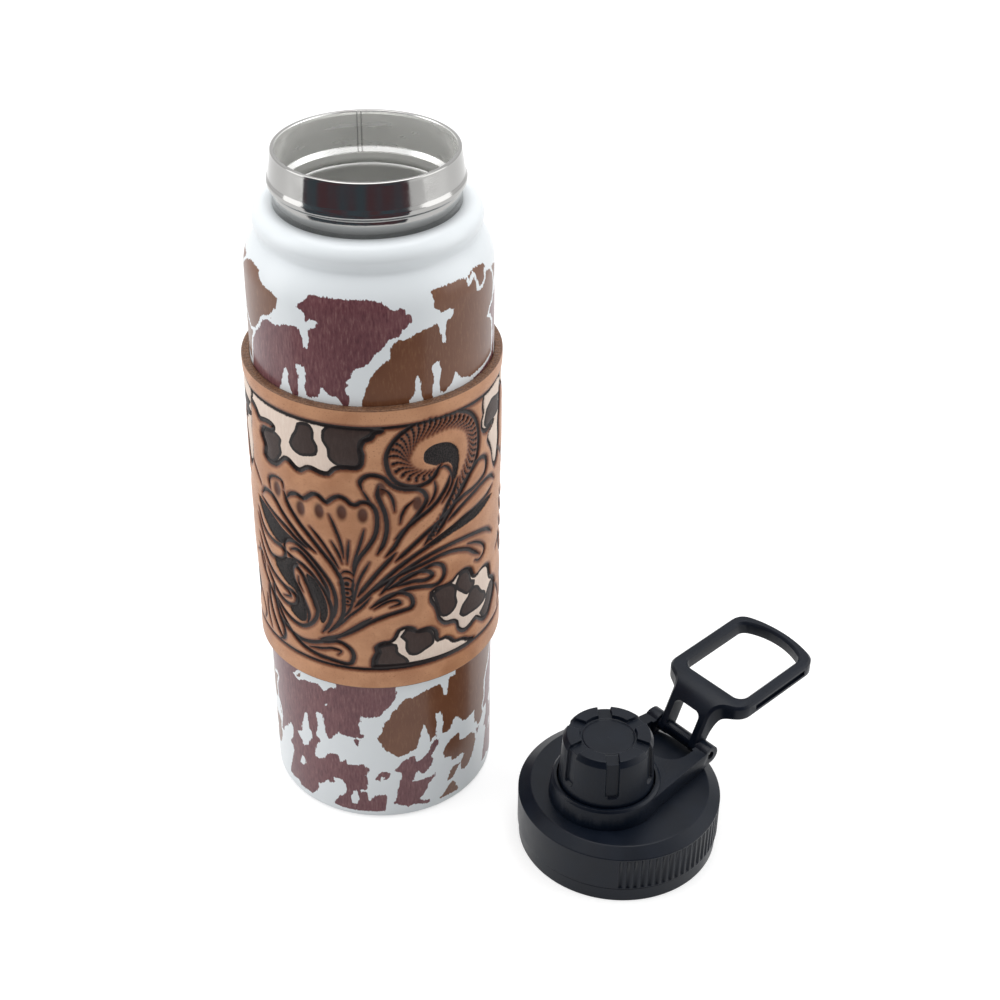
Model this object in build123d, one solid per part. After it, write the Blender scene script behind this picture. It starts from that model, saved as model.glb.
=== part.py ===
from build123d import *
import math
import os

# A wide-mouth double-wall steel bottle in a leather sleeve, with its screw lid standing beside it.
# Millimetres, +Z up. The origin is the centre of the bottle's foot, on the table.

# Outer shell of the bottle
body_radius = 36.5
shell_wall = 0.6
foot_corner = 2.5
foot_flange = 2.0
shoulder_arc = 16.0
shoulder_rise = 19.1
groove_step = 4.0
collar_step = 3.2
collar_roll = 4.3

# Bare steel band round the neck
band_top = 222.3
band_height = 15.2
band_step = 9.3
band_wall = 0.95
bead_lift = 5.6
bead_height = 2.6
bead_rise = 1.3
bead_top_rise = 0.75
band_taper = 0.2

# Inner vessel with the rolled rim
vessel_wall = 0.6
vacuum_gap = 2.5
weld_clearance = 0.05
vessel_floor = 6.5
vessel_corner = 6.0
ledge_depth = 10.3
ledge_drop = 2.1
ledge_step = 1.3
throat_height = 3.4
rim_height = 1.0
rim_round = 0.8
rim_inset = 0.26

# Foot of the bottle
plate_thickness = 0.9
plate_clearance = 0.2
plug_hole_radius = 1.2
plug_radius = 3.2
plug_depth = 0.35
getter_radius = 6.0
getter_height = 2.4
getter_offset = 15.0

# Leather sleeve with a laced seam at the back
sleeve_bottom_share = 0.3096
sleeve_height_share = 0.541
sleeve_thickness = 2.63
sleeve_clearance = 0.05
sleeve_edge_round = 0.6
border_width = 6.9
border_groove_width = 0.9
border_groove_depth = 0.5
seam_gap = 0.7
lace_radius = 0.55
lace_hole_clearance = 0.05
lace_lift = 0.03
lace_pitch = 7.2
lace_half_span = 3.6
lace_corner = 0.9
lace_end_margin = 7.65

# Place of the lid beside the bottle
lid_gap_x = 75.6
lid_gap_y = -46.0
lid_heading = 37.0

# Lid shell and the liner that screws on the neck
thread_clearance = 0.5
liner_wall = 1.7
liner_clearance = 0.1
liner_disc = 1.8
liner_lift = 0.8
lid_wall = 1.6
lid_height = 20.74
lid_top_wall = 2.1
lid_foot_chamfer = 0.5
lid_groove_height = 5.3
lid_groove_width = 0.5
lid_groove_depth = 0.9
lid_grip_step = 0.5
lid_bevel_width = 3.9
lid_bevel_height = 2.39
rib_count = 22
rib_sector = 90.0
rib_groove_radius = 0.8
rib_groove_depth = 0.55
rib_margin = 0.4

# Lid gasket, under the bottle's rim
gasket_margin = 0.3
gasket_inset = 0.6
gasket_thickness = 1.5

# Spout, clamped through the lid by a nut
spout_offset_share = 0.26
spout_radius_share = 0.416
spout_wall = 2.4
spout_rise = 19.26
spout_hole_clearance = 0.1
flange_width = 4.2
flange_thickness = 1.6
washer_thickness = 1.5
nut_width = 3.1
nut_thickness = 3.0
nut_clearance = 0.05
spout_tail = 0.2
lip_round = 0.6

# Carrier of the loop: a ring round the spout with two arms and ears
carrier_height = 7.3
carrier_floor = 1.86
recess_gap = 1.3
ring_wall = 1.6
ring_flare = 0.8
ring_edge_round = 0.7
hinge_inset = 0.5
ear_radius = 3.3
ear_half_span = 13.4
fork_half_width = 8.8
fork_pocket_half_width = 9.6
fork_wall = 2.0
fork_pocket_margin = 1.0
fork_pocket_corner = 7.5
arm_lead = 4.5
arm_drop = 1.3

# Hinge pin
pin_radius = 1.4
pin_fit = 0.02
pin_recess = 0.7

# Carrying loop
loop_arm_angle = 65.0
loop_frame_angle = 4.5
loop_arm_length = 14.2
loop_bend_radius = 6.0
loop_thickness = 5.4
barrel_radius = 2.4
barrel_bore_clearance = 0.05
loop_side_gap = 0.4
arm_slot_half_width = 5.4
arm_slot_end = 11.3
arm_slot_corner = 2.2
window_half_width = 13.0
window_start = 7.4
window_length = 32.7
window_bulge = 3.6
window_corner = 3.4
loop_bar = 4.0
loop_near_bar = 5.4
loop_end_bar = 2.6
loop_outer_corner = 5.6
loop_neck_fillet = 5.5
loop_flare = 2.0
loop_edge_chamfer = 0.8
side_slot_start = 10.5
side_slot_length = 24.0
side_slot_height = 2.0
side_slot_depth = 1.0

# Knob that closes the spout
knob_clearance = 0.5
knob_drop = 1.24
knob_height = 18.4
knob_taper = 1.0
knob_bevel_width = 1.1
knob_bevel_height = 2.0
knob_crown_width = 4.4
knob_dish_depth = 1.2
knob_dish_slope = 0.3
knob_top_wall = 1.6
knob_notch_count = 6
knob_notch_width = 4.2
knob_notch_phase = 52.0
knob_groove_depth = 1.0
knob_groove_lift = 4.6
knob_groove_corner = 1.4
knob_fit = 0.05
knob_liner_gap = 0.5
knob_liner_wall = 1.7
knob_liner_lift = 0.8
knob_gasket_margin = 0.2
knob_gasket_thickness = 0.8
knob_gasket_gap = 0.05

# One overrun serves every cut
overrun = 1.0

# Radii of the bottle that follow from the body
foot_opening_radius = body_radius - foot_corner - foot_flange
groove_radius = body_radius - groove_step
collar_radius = body_radius - collar_step
band_radius = body_radius - band_step
bead_radius = band_radius + bead_rise
bead_top_radius = band_radius + bead_top_rise
band_inner_radius = band_radius - band_wall
vessel_radius = body_radius - shell_wall - vacuum_gap - vessel_wall
mouth_radius = band_inner_radius - weld_clearance - vessel_wall
ledge_radius = mouth_radius - ledge_step
rim_radius = band_radius - rim_inset
plate_radius = body_radius - foot_corner - plate_clearance

# Heights of the bottle that follow from the neck
collar_top = band_top - band_height
shoulder_start = collar_top - shoulder_rise
bead_start = collar_top + bead_lift
ledge_top = band_top - ledge_depth
ledge_bottom = ledge_top - ledge_drop
throat_top = ledge_bottom - throat_height
rim_top = band_top + rim_height
sleeve_bottom = sleeve_bottom_share * shoulder_start
sleeve_height = sleeve_height_share * shoulder_start

# Radii of the lid that follow from the neck
liner_inner_radius = bead_radius + thread_clearance
liner_radius = liner_inner_radius + liner_wall
lid_inner_radius = liner_radius + liner_clearance
lid_foot_radius = lid_inner_radius + lid_wall
lid_radius = lid_foot_radius + lid_grip_step
lid_top_radius = lid_radius - lid_bevel_width
gasket_inner_radius = mouth_radius - gasket_inset
gasket_outer_radius = bead_radius - gasket_margin
spout_offset = spout_offset_share * gasket_inner_radius
spout_radius = spout_radius_share * gasket_inner_radius
spout_bore_radius = spout_radius - spout_wall
nut_radius = spout_radius + nut_width
flange_radius = spout_radius + flange_width
recess_radius = flange_radius + recess_gap
ring_top_radius = recess_radius + ring_wall
ring_bottom_radius = ring_top_radius + ring_flare
knob_base_radius = recess_radius - knob_clearance
knob_shoulder_radius = knob_base_radius - knob_taper
knob_crown_radius = knob_shoulder_radius - knob_bevel_width
knob_dish_radius = knob_crown_radius - knob_crown_width
knob_liner_bore = spout_radius + knob_liner_gap
knob_liner_radius = knob_liner_bore + knob_liner_wall
knob_gasket_radius = spout_radius + knob_gasket_margin

# Places on the lid that follow
hinge_reach = lid_top_radius - hinge_inset
fork_start = ring_top_radius - spout_offset + fork_wall
fork_pocket_end = hinge_reach - ear_radius - fork_pocket_margin
lid_bevel_start = lid_height - lid_bevel_height
liner_top = lid_height - lid_top_wall
liner_ceiling = liner_top - liner_disc
carrier_bottom = lid_height
carrier_top = carrier_bottom + carrier_height
pin_height = carrier_top - ear_radius
spout_top = lid_height + spout_rise
knob_bottom = carrier_top - knob_drop
knob_top = knob_bottom + knob_height
knob_shoulder_height = knob_top - knob_bevel_height
knob_groove_bottom = knob_bottom + knob_groove_lift
knob_dish = knob_top - knob_dish_depth
knob_ceiling = knob_dish - knob_top_wall
loop_half_width = window_half_width + loop_bar
loop_arm_half_width = fork_half_width - loop_side_gap


def turned(edges):
    """Turns a half-profile of (radius, height) edges round the Z axis."""
    return revolve(Plane.XZ * make_face(edges), Axis.Z)


def turned_outline(*points):
    """Turns a straight-sided half-profile round the Z axis."""
    return turned(Polyline(*points, close=True).edges())


def tube(outer, inner, bottom, top):
    """A plain ring between two radii and two heights."""
    return turned_outline((inner, bottom), (outer, bottom), (outer, top), (inner, top))


def rod(radius, bottom, top):
    """A solid disc or rod on the Z axis."""
    return turned_outline((0, bottom), (radius, bottom), (radius, top), (0, top))


def block(x_low, x_high, y_low, y_high, z_low, z_high):
    """A box between six planes."""
    size = (x_high - x_low, y_high - y_low, z_high - z_low)
    middle = ((x_low + x_high) / 2, (y_low + y_high) / 2, (z_low + z_high) / 2)
    return Pos(*middle) * Box(*size)


def body_form(inset):
    """The bottle's outer form up to the paint edge, drawn in by an inset."""
    foot_centre = (body_radius - foot_corner, foot_corner)
    shoulder_centre = (body_radius - shoulder_arc, shoulder_start)
    groove_reach = groove_radius - inset - shoulder_centre[0]
    groove_angle = math.degrees(math.acos(groove_reach / (shoulder_arc - inset)))
    roll_centre = (collar_radius - collar_roll, collar_top - collar_roll)
    foot = CenterArc(foot_centre, foot_corner - inset, -90, 90)
    shoulder = CenterArc(shoulder_centre, shoulder_arc - inset, 0, groove_angle)
    roll = CenterArc(roll_centre, collar_roll - inset, 0, 90)
    swell = TangentArc(roll @ 0, shoulder @ 1, tangent=(0, -1))
    top = collar_top - inset
    edges = [Line((0, inset), foot @ 0), foot, Line(foot @ 1, shoulder @ 0), shoulder, swell, roll]
    edges += [Line(roll @ 1, (0, top)), Line((0, top), (0, inset))]
    return turned(edges)


def outer_shell():
    """The painted shell: straight side, round shoulder and the rolled collar."""
    bore = band_radius - shell_wall
    shell = body_form(0) - body_form(shell_wall)
    shell -= rod(bore, shoulder_start, collar_top + overrun)
    return shell - rod(foot_opening_radius, -overrun, foot_corner)


def neck_band():
    """The bare neck with its rolled bead, on top of the painted collar."""
    inner = band_inner_radius
    bead_end = bead_start + bead_height
    bead_crest = (bead_radius, bead_start + bead_height / 2)
    edges = Polyline(
        (bead_top_radius, bead_end),
        (band_radius - band_taper, band_top),
        (inner, band_top),
        (inner, collar_top),
        (band_radius, collar_top),
        (band_radius, bead_start),
    ).edges()
    bead = ThreePointArc((band_radius, bead_start), bead_crest, (bead_top_radius, bead_end))
    return turned([*edges, bead])


def vessel_form(grow):
    """The inside form of the vessel, or its outside form when grown by the wall."""
    bore = mouth_radius + grow
    side = vessel_radius + grow
    floor = vessel_floor - grow
    corner_centre = (vessel_radius - vessel_corner, vessel_floor + vessel_corner)
    corner = CenterArc(corner_centre, vessel_corner + grow, -90, 90)
    throat = (ledge_radius + grow, throat_top)
    shoulder = TangentArc((side, shoulder_start), throat, tangent=(0, 1))
    edges = [Line((0, floor), corner @ 0), corner, Line(corner @ 1, shoulder @ 0), shoulder]
    edges += Polyline(
        throat,
        (ledge_radius + grow, ledge_bottom),
        (bore, ledge_top),
        (bore, band_top),
        (0, band_top),
        (0, floor),
    ).edges()
    return turned(edges)


def rim_lip():
    """The rolled lip where the two walls are welded together."""
    inner = mouth_radius
    shoulder = rim_top - rim_round
    crest = ((inner + rim_radius) / 2, rim_top)
    crown = ThreePointArc((rim_radius, shoulder), crest, (inner, shoulder))
    edges = Polyline(
        (inner, shoulder), (inner, band_top), (rim_radius, band_top), (rim_radius, shoulder)
    ).edges()
    return turned([*edges, crown])


def inner_vessel():
    """The drawn steel vessel with its inner ledge and rolled rim."""
    return vessel_form(vessel_wall) - vessel_form(0) + rim_lip()


def base_plate():
    """The pressed plate that closes the shell's foot, with its evacuation hole."""
    top = shell_wall + plate_thickness
    return tube(plate_radius, plug_hole_radius, shell_wall, top)


def vacuum_plug():
    """The bead that seals the evacuation hole, inside the recess of the foot."""
    stub_top = shell_wall + plate_thickness
    return turned_outline(
        (0, shell_wall - plug_depth),
        (plug_radius - plug_depth, shell_wall - plug_depth),
        (plug_radius, shell_wall),
        (plug_hole_radius, shell_wall),
        (plug_hole_radius, stub_top),
        (0, stub_top),
    )


def getter():
    """The getter pill spot-welded to the base plate inside the vacuum."""
    bottom = shell_wall + plate_thickness
    return Pos(getter_offset, 0, 0) * rod(getter_radius, bottom, bottom + getter_height)


def lace_rows():
    """Heights of the stitches, evenly spaced along the seam."""
    run = sleeve_height - 2 * lace_end_margin
    count = int(round(run / lace_pitch)) + 1
    return [sleeve_bottom + lace_end_margin + run * row / (count - 1) for row in range(count)]


def leather_sleeve():
    """The leather band with rounded edges, two border grooves, a butt seam and lace holes."""
    inner = body_radius + sleeve_clearance
    outer = inner + sleeve_thickness
    top = sleeve_bottom + sleeve_height
    band = tube(outer, inner, sleeve_bottom, top)
    rims = band.edges().filter_by(GeomType.CIRCLE).sort_by(SortBy.RADIUS)[-2:]
    band = fillet(rims, sleeve_edge_round)
    for height in (sleeve_bottom + border_width, top - border_width):
        low = height - border_groove_width / 2
        band -= turned_outline(
            (outer - border_groove_depth, height),
            (outer + overrun, low - overrun),
            (outer + overrun, low + border_groove_width + overrun),
        )
    band -= block(-seam_gap / 2, seam_gap / 2, inner - overrun, outer + overrun, sleeve_bottom, top)
    hole = Rot(-90, 0, 0) * rod(lace_radius + lace_hole_clearance, inner - overrun, outer + overrun)
    for height in lace_rows():
        for side in (-lace_half_span, lace_half_span):
            band -= Pos(side, 0, height) * hole
    return band


def lace_stitch():
    """One stitch: a bar over the seam whose two legs go down through the leather."""
    leg = body_radius + sleeve_clearance + lace_radius
    bar = leg + sleeve_thickness + lace_lift
    path = FilletPolyline(
        (-lace_half_span, leg, 0),
        (-lace_half_span, bar, 0),
        (lace_half_span, bar, 0),
        (lace_half_span, leg, 0),
        radius=lace_corner,
    )
    section = Plane(origin=path @ 0, z_dir=path % 0) * Circle(lace_radius)
    return sweep(section, path=path)


def sleeve_lacing():
    """The row of stitches that draws the seam together."""
    stitch = lace_stitch()
    return Compound([Pos(0, 0, height) * stitch for height in lace_rows()])


def rib_tools():
    """Upright cutters for the grip ribs, in two sectors beside the hinge line."""
    bottom = lid_groove_height + lid_groove_width + rib_margin
    top = lid_bevel_start - rib_margin
    reach = lid_radius + rib_groove_radius - rib_groove_depth
    cutter = Pos(reach, 0, 0) * rod(rib_groove_radius, bottom, top)
    step = rib_sector / rib_count
    tools = []
    for middle in (90, -90):
        for place in range(rib_count):
            angle = middle - rib_sector / 2 + step * (place + 0.5)
            tools.append(Rot(0, 0, angle) * cutter)
    return tools


def lid_shell():
    """The lid's outer moulding: foot band, groove, ribbed grip, bevel and flat top."""
    groove_top = lid_groove_height + lid_groove_width
    groove_floor = lid_foot_radius - lid_groove_depth
    form = turned_outline(
        (0, 0),
        (lid_foot_radius - lid_foot_chamfer, 0),
        (lid_foot_radius, lid_foot_chamfer),
        (lid_foot_radius, lid_groove_height),
        (groove_floor, lid_groove_height),
        (groove_floor, groove_top),
        (lid_radius, groove_top),
        (lid_radius, lid_bevel_start),
        (lid_top_radius, lid_height),
        (0, lid_height),
    )
    form -= rod(lid_foot_radius - lid_wall, -overrun, lid_height - lid_top_wall)
    hole = rod(spout_radius + spout_hole_clearance, 0, lid_height + overrun)
    return form - Pos(-spout_offset, 0, 0) * hole - rib_tools()


def lid_liner():
    """The inner cup that screws over the neck, with a hole for the spout."""
    outer = lid_foot_radius - lid_wall - liner_clearance
    cup = rod(outer, liner_lift, liner_top)
    cup -= rod(outer - liner_wall, 0, liner_ceiling)
    hole = rod(spout_radius + spout_hole_clearance, 0, liner_top + overrun)
    return cup - Pos(-spout_offset, 0, 0) * hole


def lid_gasket():
    """The flat ring that the bottle's rim presses on."""
    return tube(gasket_outer_radius, gasket_inner_radius, liner_ceiling - gasket_thickness, liner_ceiling)


def spout():
    """The drinking spout with the flange that holds the carrier down."""
    flange_bottom = carrier_bottom + carrier_floor
    nut_bottom = liner_ceiling - washer_thickness - nut_thickness
    body = tube(spout_radius, spout_bore_radius, nut_bottom - spout_tail, spout_top)
    lip = body.faces().sort_by(Axis.Z)[-1].edges()
    body = fillet(lip, lip_round)
    flange = tube(flange_radius, spout_radius - lip_round, flange_bottom, flange_bottom + flange_thickness)
    return Pos(-spout_offset, 0, 0) * (body + flange)


def spout_washer():
    """The soft washer between the nut and the liner."""
    inner = spout_radius + nut_clearance
    washer = tube(nut_radius, inner, liner_ceiling - washer_thickness, liner_ceiling)
    return Pos(-spout_offset, 0, 0) * washer


def spout_nut():
    """The ring nut that clamps the spout, the carrier, the shell and the liner."""
    top = liner_ceiling - washer_thickness
    nut = tube(nut_radius, spout_radius + nut_clearance, top - nut_thickness, top)
    return Pos(-spout_offset, 0, 0) * nut


def carrier_plan():
    """Plan of the arms: straight edges that leave the ring as tangents and end at the ears."""
    reach = hinge_reach + spout_offset
    distance = math.hypot(reach, ear_half_span)
    lean = math.atan2(ear_half_span, reach) + math.acos(ring_top_radius / distance)
    touch_x = ring_top_radius * math.cos(lean) - spout_offset
    touch_y = ring_top_radius * math.sin(lean)
    end = hinge_reach + ear_radius + overrun
    return make_face(
        Polyline(
            (touch_x, touch_y),
            (hinge_reach, ear_half_span),
            (end, ear_half_span),
            (end, -ear_half_span),
            (hinge_reach, -ear_half_span),
            (touch_x, -touch_y),
            close=True,
        ).edges()
    )


def ear_profile():
    """Side view of an arm: level and lower than the ring, then a knuckle about the hinge pin."""
    ear_bottom = pin_height - ear_radius
    arm_top = carrier_top - arm_drop
    lead = hinge_reach - arm_lead
    start = -spout_offset - ring_top_radius
    meeting = math.degrees(math.asin((arm_top - pin_height) / ear_radius))
    knuckle = CenterArc((hinge_reach, pin_height), ear_radius, -90, 270 - meeting)
    outline = Polyline(
        knuckle @ 1,
        (start, arm_top),
        (start, carrier_bottom),
        (lead, carrier_bottom),
        (hinge_reach, ear_bottom),
    )
    face = Plane.XZ * make_face([knuckle, *outline.edges()])
    return extrude(face, amount=ear_half_span + ring_bottom_radius, both=True)


def fork_opening():
    """The gap between the arms, wider and rounded behind the loop's barrel."""
    end = hinge_reach + ear_radius + overrun
    height = carrier_height + 2 * overrun
    base = carrier_bottom - overrun
    pocket = block(
        fork_start, fork_pocket_end, -fork_pocket_half_width, fork_pocket_half_width, base, base + height
    )
    inner_corners = pocket.edges().filter_by(Axis.Z).sort_by(Axis.X)[:2]
    pocket = fillet(inner_corners, fork_pocket_corner)
    lane_start = fork_start + fork_pocket_corner
    lane = block(lane_start, end, -fork_half_width, fork_half_width, base, base + height)
    return pocket + lane


def loop_carrier():
    """The ring round the spout with its two arms and the ears for the hinge pin."""
    ring_edge = ring_top_radius - ring_edge_round
    ring = turned_outline(
        (0, carrier_bottom),
        (ring_bottom_radius, carrier_bottom),
        (ring_top_radius, carrier_top - ring_edge_round),
        (ring_edge, carrier_top),
        (0, carrier_top),
    )
    arms = extrude(Pos(0, 0, carrier_bottom) * carrier_plan(), amount=carrier_height) & ear_profile()
    recess = rod(recess_radius, carrier_bottom + carrier_floor, carrier_top + overrun)
    hole = rod(spout_radius + spout_hole_clearance, 0, carrier_top)
    spout_place = Pos(-spout_offset, 0, 0)
    carrier = spout_place * ring + arms - spout_place * (recess + hole) - fork_opening()
    return carrier - pin_bar(pin_radius + pin_fit, ear_half_span + overrun)


def pin_bar(radius, half_length):
    """A round bar on the hinge axis."""
    bar = Rot(90, 0, 0) * rod(radius, -half_length, half_length)
    return Pos(hinge_reach, 0, pin_height) * bar


def hinge_pin():
    """The steel pin, a little short of the ears' outer faces."""
    return pin_bar(pin_radius, ear_half_span - pin_recess)


def loop_strip():
    """The bent strip that the loop is cut from: steep arms, then a nearly level frame."""
    arm = math.radians(loop_arm_angle)
    frame = math.radians(loop_frame_angle)
    frame_length = window_start + window_length + loop_end_bar + overrun
    bend = (loop_arm_length * math.cos(arm), loop_arm_length * math.sin(arm))
    tip = (bend[0] + frame_length * math.cos(frame), bend[1] + frame_length * math.sin(frame))
    path = Plane.XZ * FilletPolyline((0, 0), bend, tip, radius=loop_bend_radius)
    section = Plane(origin=path @ 0, x_dir=(0, 1, 0), z_dir=path % 0)
    return sweep(section * Rectangle(2 * (loop_half_width + overrun), loop_thickness), path=path)


def bulged_outline(start, length, half_width, bulge, corner):
    """A four-sided plan with a bowed far end and rounded corners."""
    end = start + length
    bow = ThreePointArc((end - bulge, -half_width), (end, 0), (end - bulge, half_width))
    sides = Polyline(bow @ 1, (start, half_width), (start, -half_width), bow @ 0)
    face = make_face([bow, *sides.edges()])
    return fillet(face.vertices(), corner)


def loop_plan():
    """Plan of the loop: two arms that flare into the frame with its bowed far end."""
    bend = loop_arm_length * math.cos(math.radians(loop_arm_angle))
    near = bend + window_start - loop_near_bar
    far = bend + window_start + window_length + loop_end_bar
    shoulder = near + loop_flare
    bow_start = (far - window_bulge, -loop_half_width)
    bow_end = (far - window_bulge, loop_half_width)
    bow = ThreePointArc(bow_start, (far, 0), bow_end)
    sides = Polyline(
        bow_end,
        (shoulder, loop_half_width),
        (near - loop_flare, loop_arm_half_width),
        (-barrel_radius, loop_arm_half_width),
        (-barrel_radius, -loop_arm_half_width),
        (near - loop_flare, -loop_arm_half_width),
        (shoulder, -loop_half_width),
        bow_start,
    )
    corners = make_face([bow, *sides.edges()]).vertices().sort_by(Axis.X)
    plan = fillet(corners[4:], loop_outer_corner)
    necks = plan.vertices().sort_by(Axis.X)[2:4]
    return fillet(necks, loop_neck_fillet)


def loop_window():
    """The finger window, cut square to the frame."""
    arm = math.radians(loop_arm_angle)
    bend = Pos(loop_arm_length * math.cos(arm), 0, loop_arm_length * math.sin(arm))
    hole = bulged_outline(window_start, window_length, window_half_width, window_bulge, window_corner)
    cutter = extrude(hole, amount=loop_thickness, both=True)
    return bend * Rot(0, -loop_frame_angle, 0) * cutter


def arm_slot():
    """The small opening between the two arms, cut square to them."""
    low = barrel_radius - overrun
    length = arm_slot_end - low
    outline = Pos(low + length / 2, 0) * Rectangle(length, 2 * arm_slot_half_width)
    far = outline.vertices().sort_by(Axis.X)[-2:]
    cutter = extrude(fillet(far, arm_slot_corner), amount=loop_thickness, both=True)
    return Rot(0, -loop_arm_angle, 0) * cutter


def side_slots():
    """The shallow recesses along the outer sides of the frame."""
    arm = math.radians(loop_arm_angle)
    bend = Pos(loop_arm_length * math.cos(arm), 0, loop_arm_length * math.sin(arm))
    half = side_slot_height / 2
    end = side_slot_start + side_slot_length
    tools = []
    for side in (-1, 1):
        floor = side * (loop_half_width - side_slot_depth)
        outside = side * (loop_half_width + overrun)
        low, high = sorted((floor, outside))
        slot = block(side_slot_start, end, low, high, -half, half)
        tools.append(bend * Rot(0, -loop_frame_angle, 0) * slot)
    return tools


def carry_loop():
    """The carrying loop: barrel, two arms with round ends, bend, and the frame with its window."""
    height = loop_arm_length + window_length
    plan = extrude(loop_plan(), amount=height, both=True)
    body = (loop_strip() & plan) - loop_window()
    rims = [e for e in body.edges() if e.length > window_length / 2]
    side_rims = [e for e in rims if abs(e.center().Y) > loop_arm_half_width]
    body = chamfer(side_rims, loop_edge_chamfer) - arm_slot()
    upright = Rot(90, 0, 0)
    for low in (-loop_arm_half_width, arm_slot_half_width):
        arm_end = rod(loop_thickness / 2, low, low + loop_arm_half_width - arm_slot_half_width)
        body += upright * arm_end
    barrel = upright * rod(barrel_radius, -loop_arm_half_width, loop_arm_half_width)
    bore_radius = pin_radius + barrel_bore_clearance
    bore = upright * rod(bore_radius, -fork_half_width, fork_half_width)
    loop = body + barrel - bore - side_slots()
    return Pos(hinge_reach, 0, pin_height) * loop


def knob_form():
    """The outer form of the knob, tapered, with a raised crown round a shallow dish."""
    return turned_outline(
        (0, knob_bottom),
        (knob_base_radius, knob_bottom),
        (knob_shoulder_radius, knob_shoulder_height),
        (knob_crown_radius, knob_top),
        (knob_dish_radius + knob_dish_slope, knob_top),
        (knob_dish_radius, knob_dish),
        (0, knob_dish),
    )


def knob_notch():
    """One notch through the crown that runs on down the side as a shallow groove."""
    reach = knob_base_radius + overrun
    top = knob_top + overrun
    depth_zone = turned_outline(
        (knob_dish_radius, knob_dish),
        (knob_shoulder_radius - knob_groove_depth, knob_dish),
        (knob_base_radius - knob_groove_depth, knob_bottom),
        (reach, knob_bottom),
        (reach, top),
        (knob_dish_radius, top),
    )
    half = knob_notch_width / 2
    bar = block(0, reach, -half, half, knob_groove_bottom, top)
    low_edges = bar.edges().filter_by(Axis.X).sort_by(Axis.Z)[:2]
    return fillet(low_edges, knob_groove_corner) & depth_zone


def knob():
    """The knob's outer moulding with its six notches."""
    notch = knob_notch()
    form = knob_form() - rod(knob_liner_radius + knob_fit, 0, knob_ceiling)
    for place in range(knob_notch_count):
        form -= Rot(0, 0, knob_notch_phase + 360 * place / knob_notch_count) * notch
    return Pos(-spout_offset, 0, 0) * form


def knob_liner():
    """The inner cup of the knob that screws over the spout."""
    seat = spout_top + knob_gasket_gap + knob_gasket_thickness
    cup = rod(knob_liner_radius, knob_bottom + knob_liner_lift, knob_ceiling - knob_fit)
    return Pos(-spout_offset, 0, 0) * (cup - rod(knob_liner_bore, 0, seat))


def knob_gasket():
    """The soft disc inside the knob that closes the spout's lip."""
    bottom = spout_top + knob_gasket_gap
    disc = rod(knob_gasket_radius, bottom, bottom + knob_gasket_thickness)
    return Pos(-spout_offset, 0, 0) * disc


bottle_parts = {
    "outer_shell": outer_shell,
    "neck_band": neck_band,
    "inner_vessel": inner_vessel,
    "base_plate": base_plate,
    "vacuum_plug": vacuum_plug,
    "getter": getter,
    "leather_sleeve": leather_sleeve,
    "sleeve_lacing": sleeve_lacing,
}

lid_parts = {
    "lid_shell": lid_shell,
    "lid_liner": lid_liner,
    "lid_gasket": lid_gasket,
    "spout": spout,
    "spout_washer": spout_washer,
    "spout_nut": spout_nut,
    "loop_carrier": loop_carrier,
    "hinge_pin": hinge_pin,
    "carry_loop": carry_loop,
    "knob": knob,
    "knob_liner": knob_liner,
    "knob_gasket": knob_gasket,
}

os.makedirs("parts", exist_ok=True)
lid_place = Pos(lid_gap_x, lid_gap_y, 0) * Rot(0, 0, lid_heading)
for name, build in bottle_parts.items():
    export_step(build(), f"parts/{name}.step")
for name, build in lid_parts.items():
    export_step(lid_place * build(), f"parts/{name}.step")
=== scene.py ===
# %% [markdown]
# # Steel bottle with a tooled leather sleeve
# The CAD frame gives every size and place. This script gives the pieces their looks: cowhide print, carved
# leather, polished steel and matt black plastic. Lengths are metres unless a name ends in `_mm` or `_MM`.

import math

import bmesh
import bpy
import numpy as np
from mathutils import Matrix, Vector


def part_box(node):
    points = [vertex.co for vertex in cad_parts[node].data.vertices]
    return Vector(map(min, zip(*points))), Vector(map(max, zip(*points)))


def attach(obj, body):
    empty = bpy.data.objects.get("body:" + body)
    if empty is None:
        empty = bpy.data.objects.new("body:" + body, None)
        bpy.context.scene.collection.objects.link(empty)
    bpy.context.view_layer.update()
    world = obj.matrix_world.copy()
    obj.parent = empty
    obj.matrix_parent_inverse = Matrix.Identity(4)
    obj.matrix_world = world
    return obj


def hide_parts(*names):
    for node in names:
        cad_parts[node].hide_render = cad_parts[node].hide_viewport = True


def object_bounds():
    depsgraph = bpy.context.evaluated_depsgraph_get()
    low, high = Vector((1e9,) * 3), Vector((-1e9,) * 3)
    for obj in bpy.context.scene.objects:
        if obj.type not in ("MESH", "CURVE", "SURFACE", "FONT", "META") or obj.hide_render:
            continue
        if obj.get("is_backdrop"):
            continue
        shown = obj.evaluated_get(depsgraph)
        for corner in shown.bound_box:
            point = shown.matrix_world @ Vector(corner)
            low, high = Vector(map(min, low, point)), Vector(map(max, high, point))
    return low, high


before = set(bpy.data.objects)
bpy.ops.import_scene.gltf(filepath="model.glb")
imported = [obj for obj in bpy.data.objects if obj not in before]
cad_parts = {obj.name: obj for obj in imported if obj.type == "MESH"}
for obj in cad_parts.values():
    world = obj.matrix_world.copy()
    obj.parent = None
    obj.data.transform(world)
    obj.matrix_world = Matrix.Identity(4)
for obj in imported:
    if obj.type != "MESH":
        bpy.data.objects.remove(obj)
size_at_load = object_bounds()
MM = 0.001
print("nodes:", len(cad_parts), "bounds:", size_at_load)

# %% [markdown]
# ## The camera
# The photo was taken from the front and well above. A camera could be aimed by eye, but then each piece
# would be compared a few pixels off. The place, the angles and the lens here were fitted to edges of the
# bottle and the lid in the photo.

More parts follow.
